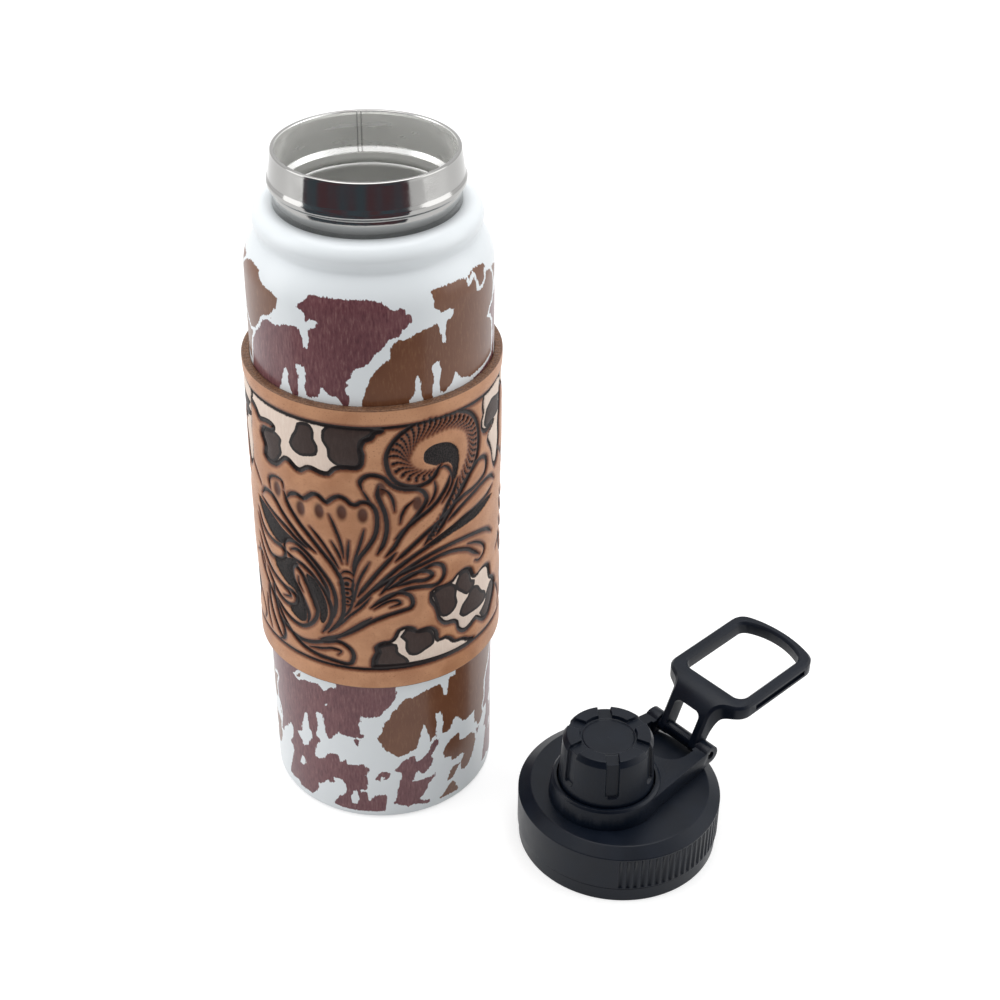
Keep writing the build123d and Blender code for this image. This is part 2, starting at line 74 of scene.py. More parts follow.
# %% Camera
YAW, PITCH, ROLL = math.radians(4.82), math.radians(33.89), math.radians(-0.85)
CAMERA_PLACE = (0.0, -0.4639, 0.4146)
SENSOR_MM = 36.0
FOCAL_PX, PICTURE_PX = 1752.4, 1000.0
NEAREST = 0.01


def in_scene(name, data):
    """A new object that holds the data and is part of the scene."""
    obj = bpy.data.objects.new(name, data)
    bpy.context.scene.collection.objects.link(obj)
    return obj


ahead = Vector((math.sin(YAW) * math.cos(PITCH), math.cos(YAW) * math.cos(PITCH), -math.sin(PITCH)))
level_right = Vector((math.cos(YAW), -math.sin(YAW), 0.0))
level_down = ahead.cross(level_right)
right = math.cos(ROLL) * level_right + math.sin(ROLL) * level_down
down = -math.sin(ROLL) * level_right + math.cos(ROLL) * level_down
camera_data = bpy.data.cameras.new("camera")
camera_data.sensor_width = SENSOR_MM
camera_data.lens = SENSOR_MM * FOCAL_PX / PICTURE_PX
camera_data.clip_start = NEAREST
camera = in_scene("camera", camera_data)
turn = Matrix((right, -down, -ahead)).transposed()
camera.matrix_world = Matrix.Translation(CAMERA_PLACE) @ turn.to_4x4()
bpy.context.scene.camera = camera
bpy.context.scene.view_settings.view_transform = "Standard"
print("camera lens:", round(camera_data.lens, 2), "mm")

# %% [markdown]
# ## Profiles
# A turned or moulded piece has a small radius on each corner, which catches the light. A bevel modifier
# could cut it, but it works on every edge alike. Here each corner of the profile names its own fillet. Two
# points stay close to each arc, so that smooth shading leaves the flats flat.

# %% Profile helpers
# A turned profile ends this close to its axis.
AXIS_MM = 0.001
# A fillet takes at most this share of the shorter stretch beside its corner.
LONGEST_FILLET = 0.49
# The two guard points stand this far from the arc, as a share of its radius, and at most this far.
GUARD_SHARE, GUARD_MM = 0.15, 0.2


def rounded(points, steps=5):
    """Profile through (radius, height, fillet) points in mm, with arcs at the corners."""
    out = []
    for i, (r, z, fillet) in enumerate(points):
        here = np.array((r, z))
        if fillet <= 0 or i in (0, len(points) - 1):
            out.append(here)
            continue
        before = np.array(points[i - 1][:2]) - here
        after = np.array(points[i + 1][:2]) - here
        room = LONGEST_FILLET * min(np.linalg.norm(before), np.linalg.norm(after))
        a = before / np.linalg.norm(before)
        b = after / np.linalg.norm(after)
        half = math.acos(np.clip(a @ b, -1, 1)) / 2
        reach = min(fillet / math.tan(half), room)
        radius = reach * math.tan(half)
        middle = here + (a + b) / np.linalg.norm(a + b) * (radius / math.sin(half))
        start, end = here + a * reach, here + b * reach
        guard = min(GUARD_SHARE * radius, GUARD_MM)
        out.append(start + a * guard)
        for k in range(steps + 1):
            ray = start + (end - start) * k / steps - middle
            out.append(middle + ray / np.linalg.norm(ray) * radius)
        out.append(end + b * guard)
    return np.array(out)


def arc(centre, radius, start, end, count):
    """Points on an arc of a profile, as (radius, height) pairs in mm."""
    angles = np.linspace(start, end, count)
    return [(centre[0] + radius * math.cos(a), centre[1] + radius * math.sin(a)) for a in angles]


def refine(profile, step):
    """Adds points so that no stretch of the profile is longer than the step."""
    out = [profile[0]]
    for a, b in zip(profile, profile[1:]):
        n = max(1, int(math.ceil(np.linalg.norm(b - a) / step)))
        out.extend(a + (b - a) * k / n for k in range(1, n + 1))
    return np.array(out)


def walled(profile, wall, keep_every=1):
    """Closes a skin profile into a wall, with a second skin to the left of its run."""
    ahead_of = np.gradient(profile, axis=0)
    ahead_of /= np.maximum(np.linalg.norm(ahead_of, axis=1, keepdims=True), 1e-9)
    back = profile + np.stack([-ahead_of[:, 1], ahead_of[:, 0]], -1) * wall
    back[:, 0] = np.maximum(back[:, 0], AXIS_MM)
    return np.vstack([profile, back[::-1][::keep_every]])


def smoothstep(low, high, value):
    """0 below low, 1 above high, and an even curve between them."""
    t = np.clip((value - low) / (high - low), 0.0, 1.0)
    return t * t * (3.0 - 2.0 * t)


print("a square corner with a fillet has", len(rounded([(0, 0, 0), (1, 0, 0.3), (1, 1, 0)])) - 2, "points")

# %% [markdown]
# ## Turned pieces
# Nearly everything on this bottle is turned about an axis. A screw modifier could do that too, but a grid
# built from an array keeps each point where the drawing wants it. It can also be bent into ribs and
# notches, and carry values for the material.


# %% Turned pieces
def grid_object(name, points, close_u=True, close_v=False, fields=None):
    """Mesh from an array (u, v, 3) of points in metres. Fields are float attributes per point."""
    nu, nv = points.shape[:2]
    index = np.arange(nu * nv).reshape(nu, nv)
    iu = np.arange(nu if close_u else nu - 1)
    iv = np.arange(nv if close_v else nv - 1)
    a, b = np.meshgrid(iu, iv, indexing="ij")
    a2, b2 = (a + 1) % nu, (b + 1) % nv
    quads = np.stack([index[a, b], index[a2, b], index[a2, b2], index[a, b2]], -1).reshape(-1, 4)
    mesh = bpy.data.meshes.new(name)
    mesh.vertices.add(nu * nv)
    mesh.vertices.foreach_set("co", points.reshape(-1).astype(np.float32))
    mesh.loops.add(quads.size)
    mesh.loops.foreach_set("vertex_index", quads.reshape(-1).astype(np.int32))
    mesh.polygons.add(len(quads))
    mesh.polygons.foreach_set("loop_start", np.arange(0, quads.size, 4, dtype=np.int32))
    mesh.polygons.foreach_set("loop_total", np.full(len(quads), 4, dtype=np.int32))
    mesh.polygons.foreach_set("use_smooth", np.ones(len(quads), dtype=bool))
    mesh.update(calc_edges=True)
    for field, values in (fields or {}).items():
        attribute = mesh.attributes.new(field, "FLOAT", "POINT")
        attribute.data.foreach_set("value", np.asarray(values, np.float32).reshape(-1))
    return in_scene(name, mesh)


def lathe(name, profile, segments=256, place=None, shape=None, fields=None):
    """Turns a closed profile (mm) about Z. `shape` may move the points, `place` puts them in the row frame.

    The profile runs up the outside and down the inside, so that the faces look outwards.
    """
    angle = np.arange(segments) * 2 * math.pi / segments
    r = np.broadcast_to(profile[:, 0], (segments, len(profile))).copy()
    z = np.broadcast_to(profile[:, 1], (segments, len(profile))).copy()
    t = np.broadcast_to(angle[:, None], r.shape)
    if shape:
        r, z = shape(r, z, t)
    points = np.stack([r * np.cos(t), r * np.sin(t), z], -1)
    if place:
        points = place(points)
    values = fields(r, z, t) if fields else None
    return grid_object(name, points * MM, close_v=True, fields=values)


print("turning helpers ready")

# %% [markdown]
# ## Where the lid stands
# The lid stands beside the bottle, turned a little, and its spout is off centre. Its pieces could be
# parented to an empty there. Moving their points instead leaves each object without a transform of its own,
# so it can ride on its body in the frame.

# %% The lid's place
LID_MM = np.array((75.6, -46.0))
LID_TURN = math.radians(37.0)
SPOUT_OFFSET_MM = 6.5


def lid_place(points):
    """From the lid's own frame (mm, +X towards the hinge) to the row frame."""
    c, s = math.cos(LID_TURN), math.sin(LID_TURN)
    x = points[..., 0] * c - points[..., 1] * s + LID_MM[0]
    y = points[..., 0] * s + points[..., 1] * c + LID_MM[1]
    return np.stack([x, y, points[..., 2]], -1)


def spout_place(points):
    """From a frame on the spout's axis to the row frame."""
    return lid_place(points - np.array((SPOUT_OFFSET_MM, 0.0, 0.0)))


print("lid axis:", round(float(np.hypot(*LID_MM)), 1), "mm from the bottle's axis")

# %% [markdown]
# ## Dressing the frame
# Each piece takes the place of one CAD node and rides on the body that carries that node. A few nodes are
# good enough as they come from the CAD and get a material only.


# %% Dressing the frame
def give_material(obj, material):
    """Leaves the mesh with this one material."""
    obj.data.materials.clear()
    obj.data.materials.append(material)


def dress(obj, material, body, slot, *nodes):
    """Gives a piece its material and its body, and hides the CAD nodes that it stands for. The slot is not
    used.
    """
    give_material(obj, material)
    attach(obj, body)
    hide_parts(*nodes)
    return obj


def finish_node(node, material):
    """Gives a CAD node that stays in view its material."""
    give_material(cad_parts[node], material)


print("nodes to dress:", len(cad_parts))

# %% [markdown]
# ## Nodes
# A finish is a tree of nodes. Written out one by one, the nodes would bury the numbers that matter. `Nodes`
# adds a node, sets its options and constants and links its sockets in one call, so that a material reads
# from top to bottom like a recipe.


# %% Nodes
class Nodes:
    """Short ways to add nodes to one tree."""

    def __init__(self, tree):
        self.tree = tree

    def add(self, kind, options=None, **inputs):
        """A node with its settings. The inputs are sockets by name, or by number as in i0."""
        node = self.tree.nodes.new(kind)
        for key, value in (options or {}).items():
            setattr(node, key, value)
        self.feed(node, **inputs)
        return node

    def feed(self, node, **inputs):
        """Links each input that is a socket, and sets the others as constants."""
        for key, value in inputs.items():
            by_number = key[0] == "i" and key[1:].isdigit()
            socket = node.inputs[int(key[1:]) if by_number else key]
            if isinstance(value, bpy.types.NodeSocket):
                self.tree.links.new(value, socket)
            else:
                socket.default_value = value

    def math(self, operation, a, b=0.0):
        """The result of one operation on two values."""
        return self.add("ShaderNodeMath", {"operation": operation}, i0=a, i1=b).outputs[0]

    def around_zero(self, value, span):
        """Spreads a 0 to 1 value over a span with zero in its middle."""
        return self.math("MULTIPLY", self.math("SUBTRACT", value, 0.5), span)

    def step(self, value, low, high, start=0.0, end=1.0):
        """Runs smoothly from start, at or below low, to end, at or above high."""
        options = {"interpolation_type": "SMOOTHSTEP"}
        node = self.add("ShaderNodeMapRange", options, i0=value, i1=low, i2=high, i3=start, i4=end)
        return node.outputs[0]

    def mix(self, factor, a, b):
        """Colour a where the factor is 0, and colour b where it is 1."""
        return self.add("ShaderNodeMix", {"data_type": "RGBA"}, i0=factor, i6=a, i7=b).outputs[2]

    def field(self, name):
        """A value that the mesh carries on its points."""
        return self.add("ShaderNodeAttribute", {"attribute_name": name}).outputs["Fac"]

    def place(self):
        """Where a point lies on its object, in metres."""
        return self.add("ShaderNodeTexCoord").outputs["Object"]

    def stretched(self, vector, scale):
        """The same place, squeezed per axis. A small number draws a pattern out along its axis."""
        return self.add("ShaderNodeMapping", None, Vector=vector, Scale=scale).outputs[0]

    def noise(self, vector, scale, detail=2.0, roughness=0.5):
        """A cloudy pattern, 0 to 1, which gets finer as its scale grows."""
        inputs = {"Vector": vector, "Scale": scale, "Detail": detail, "Roughness": roughness}
        return self.add("ShaderNodeTexNoise", None, **inputs).outputs["Fac"]

    def group(self, tree, **inputs):
        """Places a shared node group with its own values."""
        return self.add("ShaderNodeGroup", {"node_tree": tree}, **inputs)

    def bump(self, height, strength, distance, normal=None):
        """A normal bent by a height. The distance is the full height in metres."""
        node = self.add("ShaderNodeBump", None, Height=height, Strength=strength, Distance=distance)
        if normal is not None:
            self.feed(node, Normal=normal)
        return node.outputs["Normal"]

    def background_rays(self):
        """1 for rays from the camera, from reflections and through glass, 0 for the others."""
        path = self.add("ShaderNodeLightPath")
        seen = self.math("MAXIMUM", path.outputs["Is Camera Ray"], path.outputs["Is Glossy Ray"])
        return self.math("MAXIMUM", seen, path.outputs["Is Transmission Ray"])


print("node helpers:", len([name for name in vars(Nodes) if not name.startswith("_")]))

# %% [markdown]
# ## Materials and node groups
# Each finish here is one Principled BSDF with its inputs fed by patterns, because that is what an export
# can read. `Finish` starts such a material. `new_group` starts a node group, for an effect that several
# materials share. Colours are written as on a paint chart and turned into the linear numbers that a
# renderer counts in.

# %% Materials and node groups
WHITE = (1.0, 1.0, 1.0, 1.0)


class Finish(Nodes):
    """A new material with a Principled BSDF."""

    def __init__(self, name):
        self.material = bpy.data.materials.new(name)
        self.material.use_nodes = True
        super().__init__(self.material.node_tree)
        self.tree.nodes.clear()
        self.body = self.add("ShaderNodeBsdfPrincipled")
        self.add("ShaderNodeOutputMaterial", None, Surface=self.body.outputs["BSDF"])

    def set(self, **inputs):
        """Feeds the Principled BSDF. An underscore stands for a space in a socket's name."""
        self.feed(self.body, **{key.replace("_", " "): value for key, value in inputs.items()})
        return self.material


def new_group(name, inputs, outputs):
    """A node group with named sockets: its nodes, its start and its end."""
    tree = bpy.data.node_groups.new(name, "ShaderNodeTree")
    for socket, kind in inputs.items():
        tree.interface.new_socket(socket, in_out="INPUT", socket_type=kind)
    for socket in outputs:
        tree.interface.new_socket(socket, in_out="OUTPUT", socket_type="NodeSocketFloat")
    nodes = Nodes(tree)
    return nodes, nodes.add("NodeGroupInput"), nodes.add("NodeGroupOutput")


def srgb(r, g, b):
    """Linear colour from the 0-255 numbers of a paint chart."""
    def one(c):
        c /= 255.0
        return c / 12.92 if c <= 0.04045 else ((c + 0.055) / 1.055) ** 2.4

    return (one(r), one(g), one(b), 1.0)


print("middle grey is", round(srgb(128, 128, 128)[0], 3), "in linear light")

# %% [markdown]
# ## Flat drawings
# The print and the carving could be painted pictures, but a picture blurs when the camera comes close. They
# are drawn flat instead, in mm: `u` runs round the bottle from the front, to the right, and `z` is the
# height. Shapes are stored as signed distances, positive inside, so their edges stay sharp at any distance.

# %% Drawing helpers
FIELD_REACH_MM = 8.0


def smooth_path(points, step=0.5):
    """A smooth curve through all the points, as a dense polyline."""
    p = np.asarray(points, float)
    p = np.vstack([2 * p[0] - p[1], p, 2 * p[-1] - p[-2]])
    out = []
    for i in range(1, len(p) - 2):
        length = np.linalg.norm(p[i + 1] - p[i])
        count = max(2, int(length / step))
        for t in np.arange(count) / count:
            a = 2 * p[i]
            b = p[i + 1] - p[i - 1]
            c = 2 * p[i - 1] - 5 * p[i] + 4 * p[i + 1] - p[i + 2]
            d = -p[i - 1] + 3 * p[i] - 3 * p[i + 1] + p[i + 2]
            out.append(0.5 * (a + b * t + c * t * t + d * t**3))
    out.append(p[-2])
    return np.array(out)


def inside_distance(u, z, outline, reach=FIELD_REACH_MM):
    """Signed distance (mm) of grid points to an outline, positive inside; only near it."""
    ring = np.asarray(outline, float)
    result = np.full(u.shape, -reach)
    near = (u > ring[:, 0].min() - reach) & (u < ring[:, 0].max() + reach)
    near &= (z > ring[:, 1].min() - reach) & (z < ring[:, 1].max() + reach)
    if not near.any():
        return result
    x, y = u[near], z[near]
    best = np.full(x.shape, reach * reach)
    odd = np.zeros(x.shape, bool)
    for (x1, y1), (x2, y2) in zip(ring, np.roll(ring, -1, axis=0)):
        dx, dy = x2 - x1, y2 - y1
        span = max(dx * dx + dy * dy, 1e-12)
        t = np.clip(((x - x1) * dx + (y - y1) * dy) / span, 0, 1)
        best = np.minimum(best, (x - x1 - t * dx) ** 2 + (y - y1 - t * dy) ** 2)
        if y1 != y2:
            odd ^= ((y1 > y) != (y2 > y)) & (x < dx * (y - y1) / dy + x1)
    result[near] = np.where(odd, 1, -1) * np.sqrt(best)
    return result


def nearest_shape(u, z, outlines, reach=FIELD_REACH_MM):
    """Signed distance (mm) to the nearest of several outlines, positive inside any of them."""
    best = np.full(u.shape, -reach)
    for outline in outlines:
        best = np.maximum(best, inside_distance(u, z, outline, reach))
    return best


print("drawing helpers ready")

# %% [markdown]
# ## The print
# On the real bottle this is a hide pattern, printed on the paint. One motif repeats every 40 mm round the
# bottle, in two browns by turns. A noise texture could give blotches too, but not these ones, so the
# outlines are drawn. What the sleeve hides stays white.

# %% Print outlines
PURPLE_LOW = [
    (4, 52), (2.5, 49.6), (1.5, 48), (0, 46.5), (-1, 45), (-4, 44), (-6.5, 44), (-7.3, 44.8), (-7.8, 43),
    (-7.5, 42), (-8.7, 41), (-8.3, 39.5), (-7.8, 38.3), (-8, 36.7), (-6.8, 36.3), (-7.3, 35), (-10, 34.9),
    (-13, 35), (-14.5, 35.3), (-15.2, 36), (-16, 35), (-17.3, 34), (-18, 32), (-19.3, 31.7), (-20, 33.5),
    (-20.2, 35), (-20.7, 39), (-21, 41), (-21.8, 41.7), (-23.5, 41.5), (-24, 40.3), (-23.3, 39), (-23, 36.5),
    (-23.5, 34), (-24, 32), (-24.2, 30.8), (-22.8, 30.5), (-22.5, 29), (-24, 27), (-24.5, 25), (-25.2, 22),
    (-23.7, 21.3), (-22, 22), (-20.5, 23.7), (-19.5, 25.4), (-17, 26.2), (-15.5, 25.7), (-15.3, 23.3),
    (-13.3, 24.5), (-13, 22.8), (-9, 23.2), (-7.5, 23.9), (-6.5, 22.5), (-5.5, 22), (-5.7, 20.5), (-6.7, 19),
    (-6.2, 17), (-6.3, 13.5), (-6.5, 12.5), (-9, 12.7), (-8.5, 11.5), (-6.5, 11.5), (-6.2, 9), (-6.5, 7.3),
    (-5.5, 8), (-5, 9), (-3.5, 10.2), (-1, 10.8), (0.2, 10.3), (0, 8), (-0.5, 5.5), (-0.5, 3.2), (-12, 3),
    (-18.8, 3.4), (-17.5, 5.5), (-16, 8), (-14, 9), (-13.5, 12), (-13.8, 14), (-15, 15.3), (-17.5, 15.8),
    (-18.3, 14.8), (-17.5, 13.5), (-19.3, 12.3), (-20, 13.4), (-21.5, 12), (-22.2, 10.8), (-24.2, 10),
    (-24.5, 7), (-26, 5), (-27, 3.8), (-33, 4), (-34.5, 5.8), (-37, 4.8), (-39.5, 5.2), (-38.5, 9), (-37, 14),
    (-36, 17.5), (-36.5, 19.5), (-38, 20), (-36.5, 22.5), (-35.5, 25), (-35.5, 28), (-37, 28.8), (-38.5, 27),
    (-39.5, 25.5), (-41.5, 24), (-43, 21), (-45, 20.3), (-44, 24), (-43, 27), (-44, 31), (-46, 33),
    (-46.5, 38), (-44, 43), (-46, 44.5), (-49, 43), (-52, 46), (-54, 52), (-54, 75), (4, 75),
]
PURPLE_LOW_HOLES = [
    [(-33.3, 52.5), (-32, 54), (-30.3, 55.2), (-30, 58), (-29.5, 64), (-15.5, 64), (-15.5, 54), (-18, 54),
     (-18.5, 53), (-20, 51.5), (-22, 53.8), (-25, 53), (-28.5, 52.4), (-31, 50.7)],
    [(-27.7, 39), (-27, 38), (-27.3, 36), (-26.7, 32.5), (-25.7, 31.8), (-26, 29), (-27.5, 26.5),
     (-28.5, 24.3),
     (-30, 23.7), (-31.3, 23.5), (-30.7, 25), (-32, 26.5), (-33, 27.8), (-32, 28.8), (-30.5, 29.5),
     (-30.5, 31.5),
     (-29.8, 34.5), (-29, 37), (-28.3, 39)],
    [(-30.8, 18.5), (-29.8, 17.5), (-29.5, 15.5), (-31, 14.2), (-32.3, 14.3), (-32, 16.5), (-31.3, 18.3)],
    [(-10.2, 12), (-9.5, 11), (-9.3, 8), (-10, 6), (-11.8, 5.8), (-12, 8.5), (-11, 11.3)],
    [(-18.8, 47), (-20, 45.8), (-19.2, 45.6)],
]
PURPLE_LOW_EXTRA = [
    [(-10.8, 34.6), (-10, 32), (-9, 31.2), (-8.2, 34.4)],
    [(-3.7, 17.3), (-3, 18.5), (-3, 20), (-2, 20.5), (0, 20.8), (1.2, 20), (1.3, 18.5), (0.3, 17.3), (-1, 17),
     (-0.6, 18.3), (-1.6, 18.6), (-2, 16.7), (-2.8, 17.2)],
    [(8, 26), (5, 24), (3.5, 22), (3, 20.7), (5, 20), (5, 17.5), (4, 14), (3.5, 11), (3, 8), (2, 6), (3, 6.3),
     (4.5, 5.3), (6, 5), (7, 4.2), (9, 4.8), (12, 4), (14.5, 3.5), (14.5, 5), (12, 5.5), (11, 6.7), (13, 9),
     (14.5, 12.5), (16.8, 14.5), (16.7, 16), (15.5, 15.3), (11, 14.8), (8.7, 15), (9.5, 17), (10.7, 19.5),
     (11.5, 18), (12.5, 17.2), (14, 18.5), (15.8, 20.5), (16.3, 22.5), (15.3, 24), (16.5, 26), (18, 28),
     (18.5, 30), (16.5, 30.5), (15, 28), (14, 25.5), (12.5, 24.5), (11.5, 23.7), (9.8, 23.3), (9.7, 26)],
]
BROWN_LOW = [
    (-2.5, 35), (-1, 37.5), (-0.5, 40), (0, 42), (1.5, 43), (2.5, 46), (4, 47), (5.5, 50), (8, 51.4),
    (9.5, 50.6), (11, 51.5), (13, 52.3), (16, 53), (19, 53.5), (20, 50), (20.7, 47.5), (21.3, 47.2),
    (21.8, 50), (22.5, 54), (25, 54), (25, 75), (50, 75), (52, 60), (50, 52), (47, 46), (44, 43), (42, 40),
    (42, 33), (40, 30), (41, 27), (39, 24.5), (37, 24.3), (36.5, 26.5), (35, 27), (34.7, 29), (35, 32.5),
    (33, 32.3), (30, 31.5), (28, 33), (26.5, 35), (25.2, 36.3), (24, 35), (23, 32.5), (21.5, 31.5),
    (20, 31.7), (19.5, 34), (20, 37), (19.8, 39.5), (19, 41.5), (17.2, 41.3), (17, 39.5), (17.7, 37.5),
    (17.3, 35), (17.3, 31.5), (16.5, 30), (15, 28), (14.8, 32), (14, 34.5), (13.6, 37), (13, 38.8),
    (12.3, 36.5), (11.7, 34), (10.8, 31.5), (10.3, 29), (8.5, 28.5), (6, 27), (4, 27), (2, 28.5), (0, 30),
    (-1, 32),
]
BROWN_LOW_EXTRA = [
    [(19.8, 23.5), (21, 26), (23, 27.5), (26.5, 28.5), (27, 25), (29, 24), (33, 24.2), (35.3, 22), (35.5, 19),
     (34.5, 16), (33, 13), (31.5, 11.5), (29.5, 10.5), (27.8, 11.5), (27.6, 13.5), (28, 15.5), (29.3, 17.5),
     (28, 18.3), (25, 17.9), (23.3, 18), (23, 20.2), (20.3, 20.6)],
    [(27.3, 14.5), (24.5, 15.2), (22.5, 13.5), (21.7, 10), (24, 9.8), (24.7, 11.5), (26, 13)],
    [(17.5, 3.6), (19.5, 4.5), (22, 7.5), (23.8, 9), (24.5, 8.2), (26, 4.8), (26.9, 3.5)],
]
PURPLE_HIGH = [
    (-18, 193), (0, 193), (3, 192), (5, 190.5), (6.5, 189.3), (7.5, 190), (9, 189.8), (9.5, 188), (11, 188),
    (11.5, 186), (10, 184), (8.5, 183.5), (7.5, 181.5), (5.5, 181), (4, 180.5), (3.5, 179), (1, 177),
    (0, 175), (-1.5, 173.5), (-3, 172.5), (-5.5, 171.5), (-6.5, 170), (-6.3, 168.5), (-8, 167.5), (-7, 166.3),
    (-8, 165), (-7, 162), (-7.5, 159), (-8, 145), (-9, 156), (-9, 159.5), (-10, 161.8), (-13, 162.5),
    (-15, 165), (-16.5, 161.5), (-18.5, 160.5), (-20.3, 160.7), (-20.5, 164), (-20, 168), (-20.5, 170),
    (-23, 170.5), (-23.5, 169), (-22.5, 166.5), (-23, 163.5), (-22.8, 160), (-25, 159), (-26, 161),
    (-26.5, 164), (-26.5, 166), (-27.5, 168), (-28.5, 165.5), (-29.5, 162), (-30, 160.5), (-30, 145),
    (-50, 145), (-47, 160), (-46, 165), (-45, 169), (-42, 173), (-39, 176), (-37, 179), (-34.5, 180.5),
    (-31, 180), (-28, 181), (-25, 182), (-22, 182.5), (-20.7, 180), (-20.2, 176.3), (-18.8, 176.5),
    (-18.3, 180), (-18.3, 182.7), (-16, 183.3), (-15.5, 185.5), (-18, 185.7), (-19.5, 184.5), (-19.5, 187.3),
    (-22, 188.5), (-21, 190), (-19.5, 191),
]
BROWN_HIGH = [
    (17, 193.3), (28, 193.6), (30.5, 193), (31, 190.5), (33, 191), (34, 192.5), (35, 190), (35.3, 187.3),
    (38.5, 187), (40.5, 189), (41, 191), (44.5, 190.3), (47, 187), (48, 183), (47, 179.5), (44, 178.5),
    (42.5, 177), (41.5, 176), (44, 175), (46.5, 172), (47, 166), (46, 162.5), (38, 161.5), (32, 161.2),
    (28, 162.5), (25.5, 165.5), (23.8, 162), (21.5, 160.5), (20, 160.6), (19.7, 164), (20.3, 168),
    (19.5, 171),
    (17.5, 170.7), (17, 169), (18, 166.5), (17.3, 163), (17.5, 160), (17, 145), (14.5, 156), (14, 161),
    (13.7, 164), (13.2, 168), (12.3, 168.3), (12, 165), (11.2, 162), (10.3, 161), (10, 145), (-4, 145),
    (-3.5, 161), (-2.5, 164), (-1.5, 168), (0.5, 171), (3, 173.5), (5, 175), (5, 178), (7, 180.5),
    (9.5, 180.2), (12, 181.5), (16, 182.5), (19, 183.3), (20, 180.5), (21, 176.5), (22, 176.2), (22, 180),
    (22.3, 182.7), (24.5, 184), (25, 186), (22.5, 186.5), (20.5, 186), (19, 187.5), (18, 188.5),
    (18.3, 190.5),
]
BROWN_HIGH_LEFT = [
    (-45, 194.3), (-39, 193.7), (-37.8, 191.5), (-35, 190.5), (-31.5, 190), (-29, 189), (-29.5, 186),
    (-32, 183.5), (-34, 181.5), (-36.5, 181), (-38.5, 178.5), (-40, 176.5), (-42.5, 174), (-46, 173),
    (-50, 176), (-54, 182), (-53, 190), (-49, 193),
]
print("largest print outline:", len(PURPLE_LOW), "points")

# %% [markdown]
# ## The print on the shell
# A print stops short of its neighbour, so each colour here keeps a small gap of paint round the other. The
# distances to both colours are stored on the shell's points, where the material reads them.

# %% Print fields
PRINT_REPEAT_MM = 80.0
PRINT_GAP_MM = 1.1
BODY_MM = 36.5


def print_fields(r, z, t):
    """Signed distances to the two colours of the print, over the whole shell."""
    half = math.pi * BODY_MM
    u = (t + math.pi / 2) * BODY_MM
    u = (u + half) % (2 * half) - half
    purple = np.full(u.shape, -FIELD_REACH_MM)
    brown = np.full(u.shape, -FIELD_REACH_MM)
    for turn_mm in (0.0, PRINT_REPEAT_MM, -PRINT_REPEAT_MM):
        v = u - turn_mm
        first = inside_distance(v, z, PURPLE_LOW)
        first = np.minimum(first, -nearest_shape(v, z, PURPLE_LOW_HOLES))
        first = np.maximum(first, nearest_shape(v, z, PURPLE_LOW_EXTRA + [PURPLE_HIGH]))
        second = nearest_shape(v, z, [BROWN_LOW, BROWN_HIGH, BROWN_HIGH_LEFT] + BROWN_LOW_EXTRA)
        second = np.minimum(second, -first - PRINT_GAP_MM)
        clear = -np.maximum(purple, brown) - PRINT_GAP_MM
        purple = np.maximum(purple, np.minimum(first, clear))
        brown = np.maximum(brown, np.minimum(second, clear))
    return {"print_purple": purple, "print_brown": brown}


print("print repeats:", round(2 * math.pi * BODY_MM / PRINT_REPEAT_MM, 1), "times round the body")

# %% [markdown]
# ## The print's finish
# Satin white paint shows under the print. A hard mask would leave sharp plastic-looking edges, so noise
# roughens them. The colours run in short streaks like hair. The streaks are a node group, because the hide
# inlays of the sleeve use them too.

# %% Paint material
HAIR_SCALE, HAIR_STRETCH = 1500.0, 0.22
RAGGED_STRETCH, RAGGED_MM = 0.28, 1.7
WIDE_SCALE, WIDE_MM = 420.0, 0.4
PRINT_SOFT_MM = 0.08
WHITE_PAINT = srgb(230, 235, 238)
PURPLE, PURPLE_LIGHT = srgb(104, 61, 67), srgb(114, 71, 76)
PURPLE_STREAK, PURPLE_FLECK = srgb(134, 96, 95), srgb(80, 44, 52)
BROWN, BROWN_LIGHT, BROWN_STREAK = srgb(104, 63, 41), srgb(114, 73, 50), srgb(126, 86, 60)


def hair_group():
    """Shared streaks: a grey value that runs like short hair down the bottle."""
    n, start, end = new_group("hair_streaks", {"Vector": "NodeSocketVector"}, ["Value"])
    drawn_out = n.stretched(start.outputs["Vector"], (1.0, 1.0, HAIR_STRETCH))
    n.feed(end, Value=n.noise(drawn_out, HAIR_SCALE, 3.0, 0.65))
    return n.tree


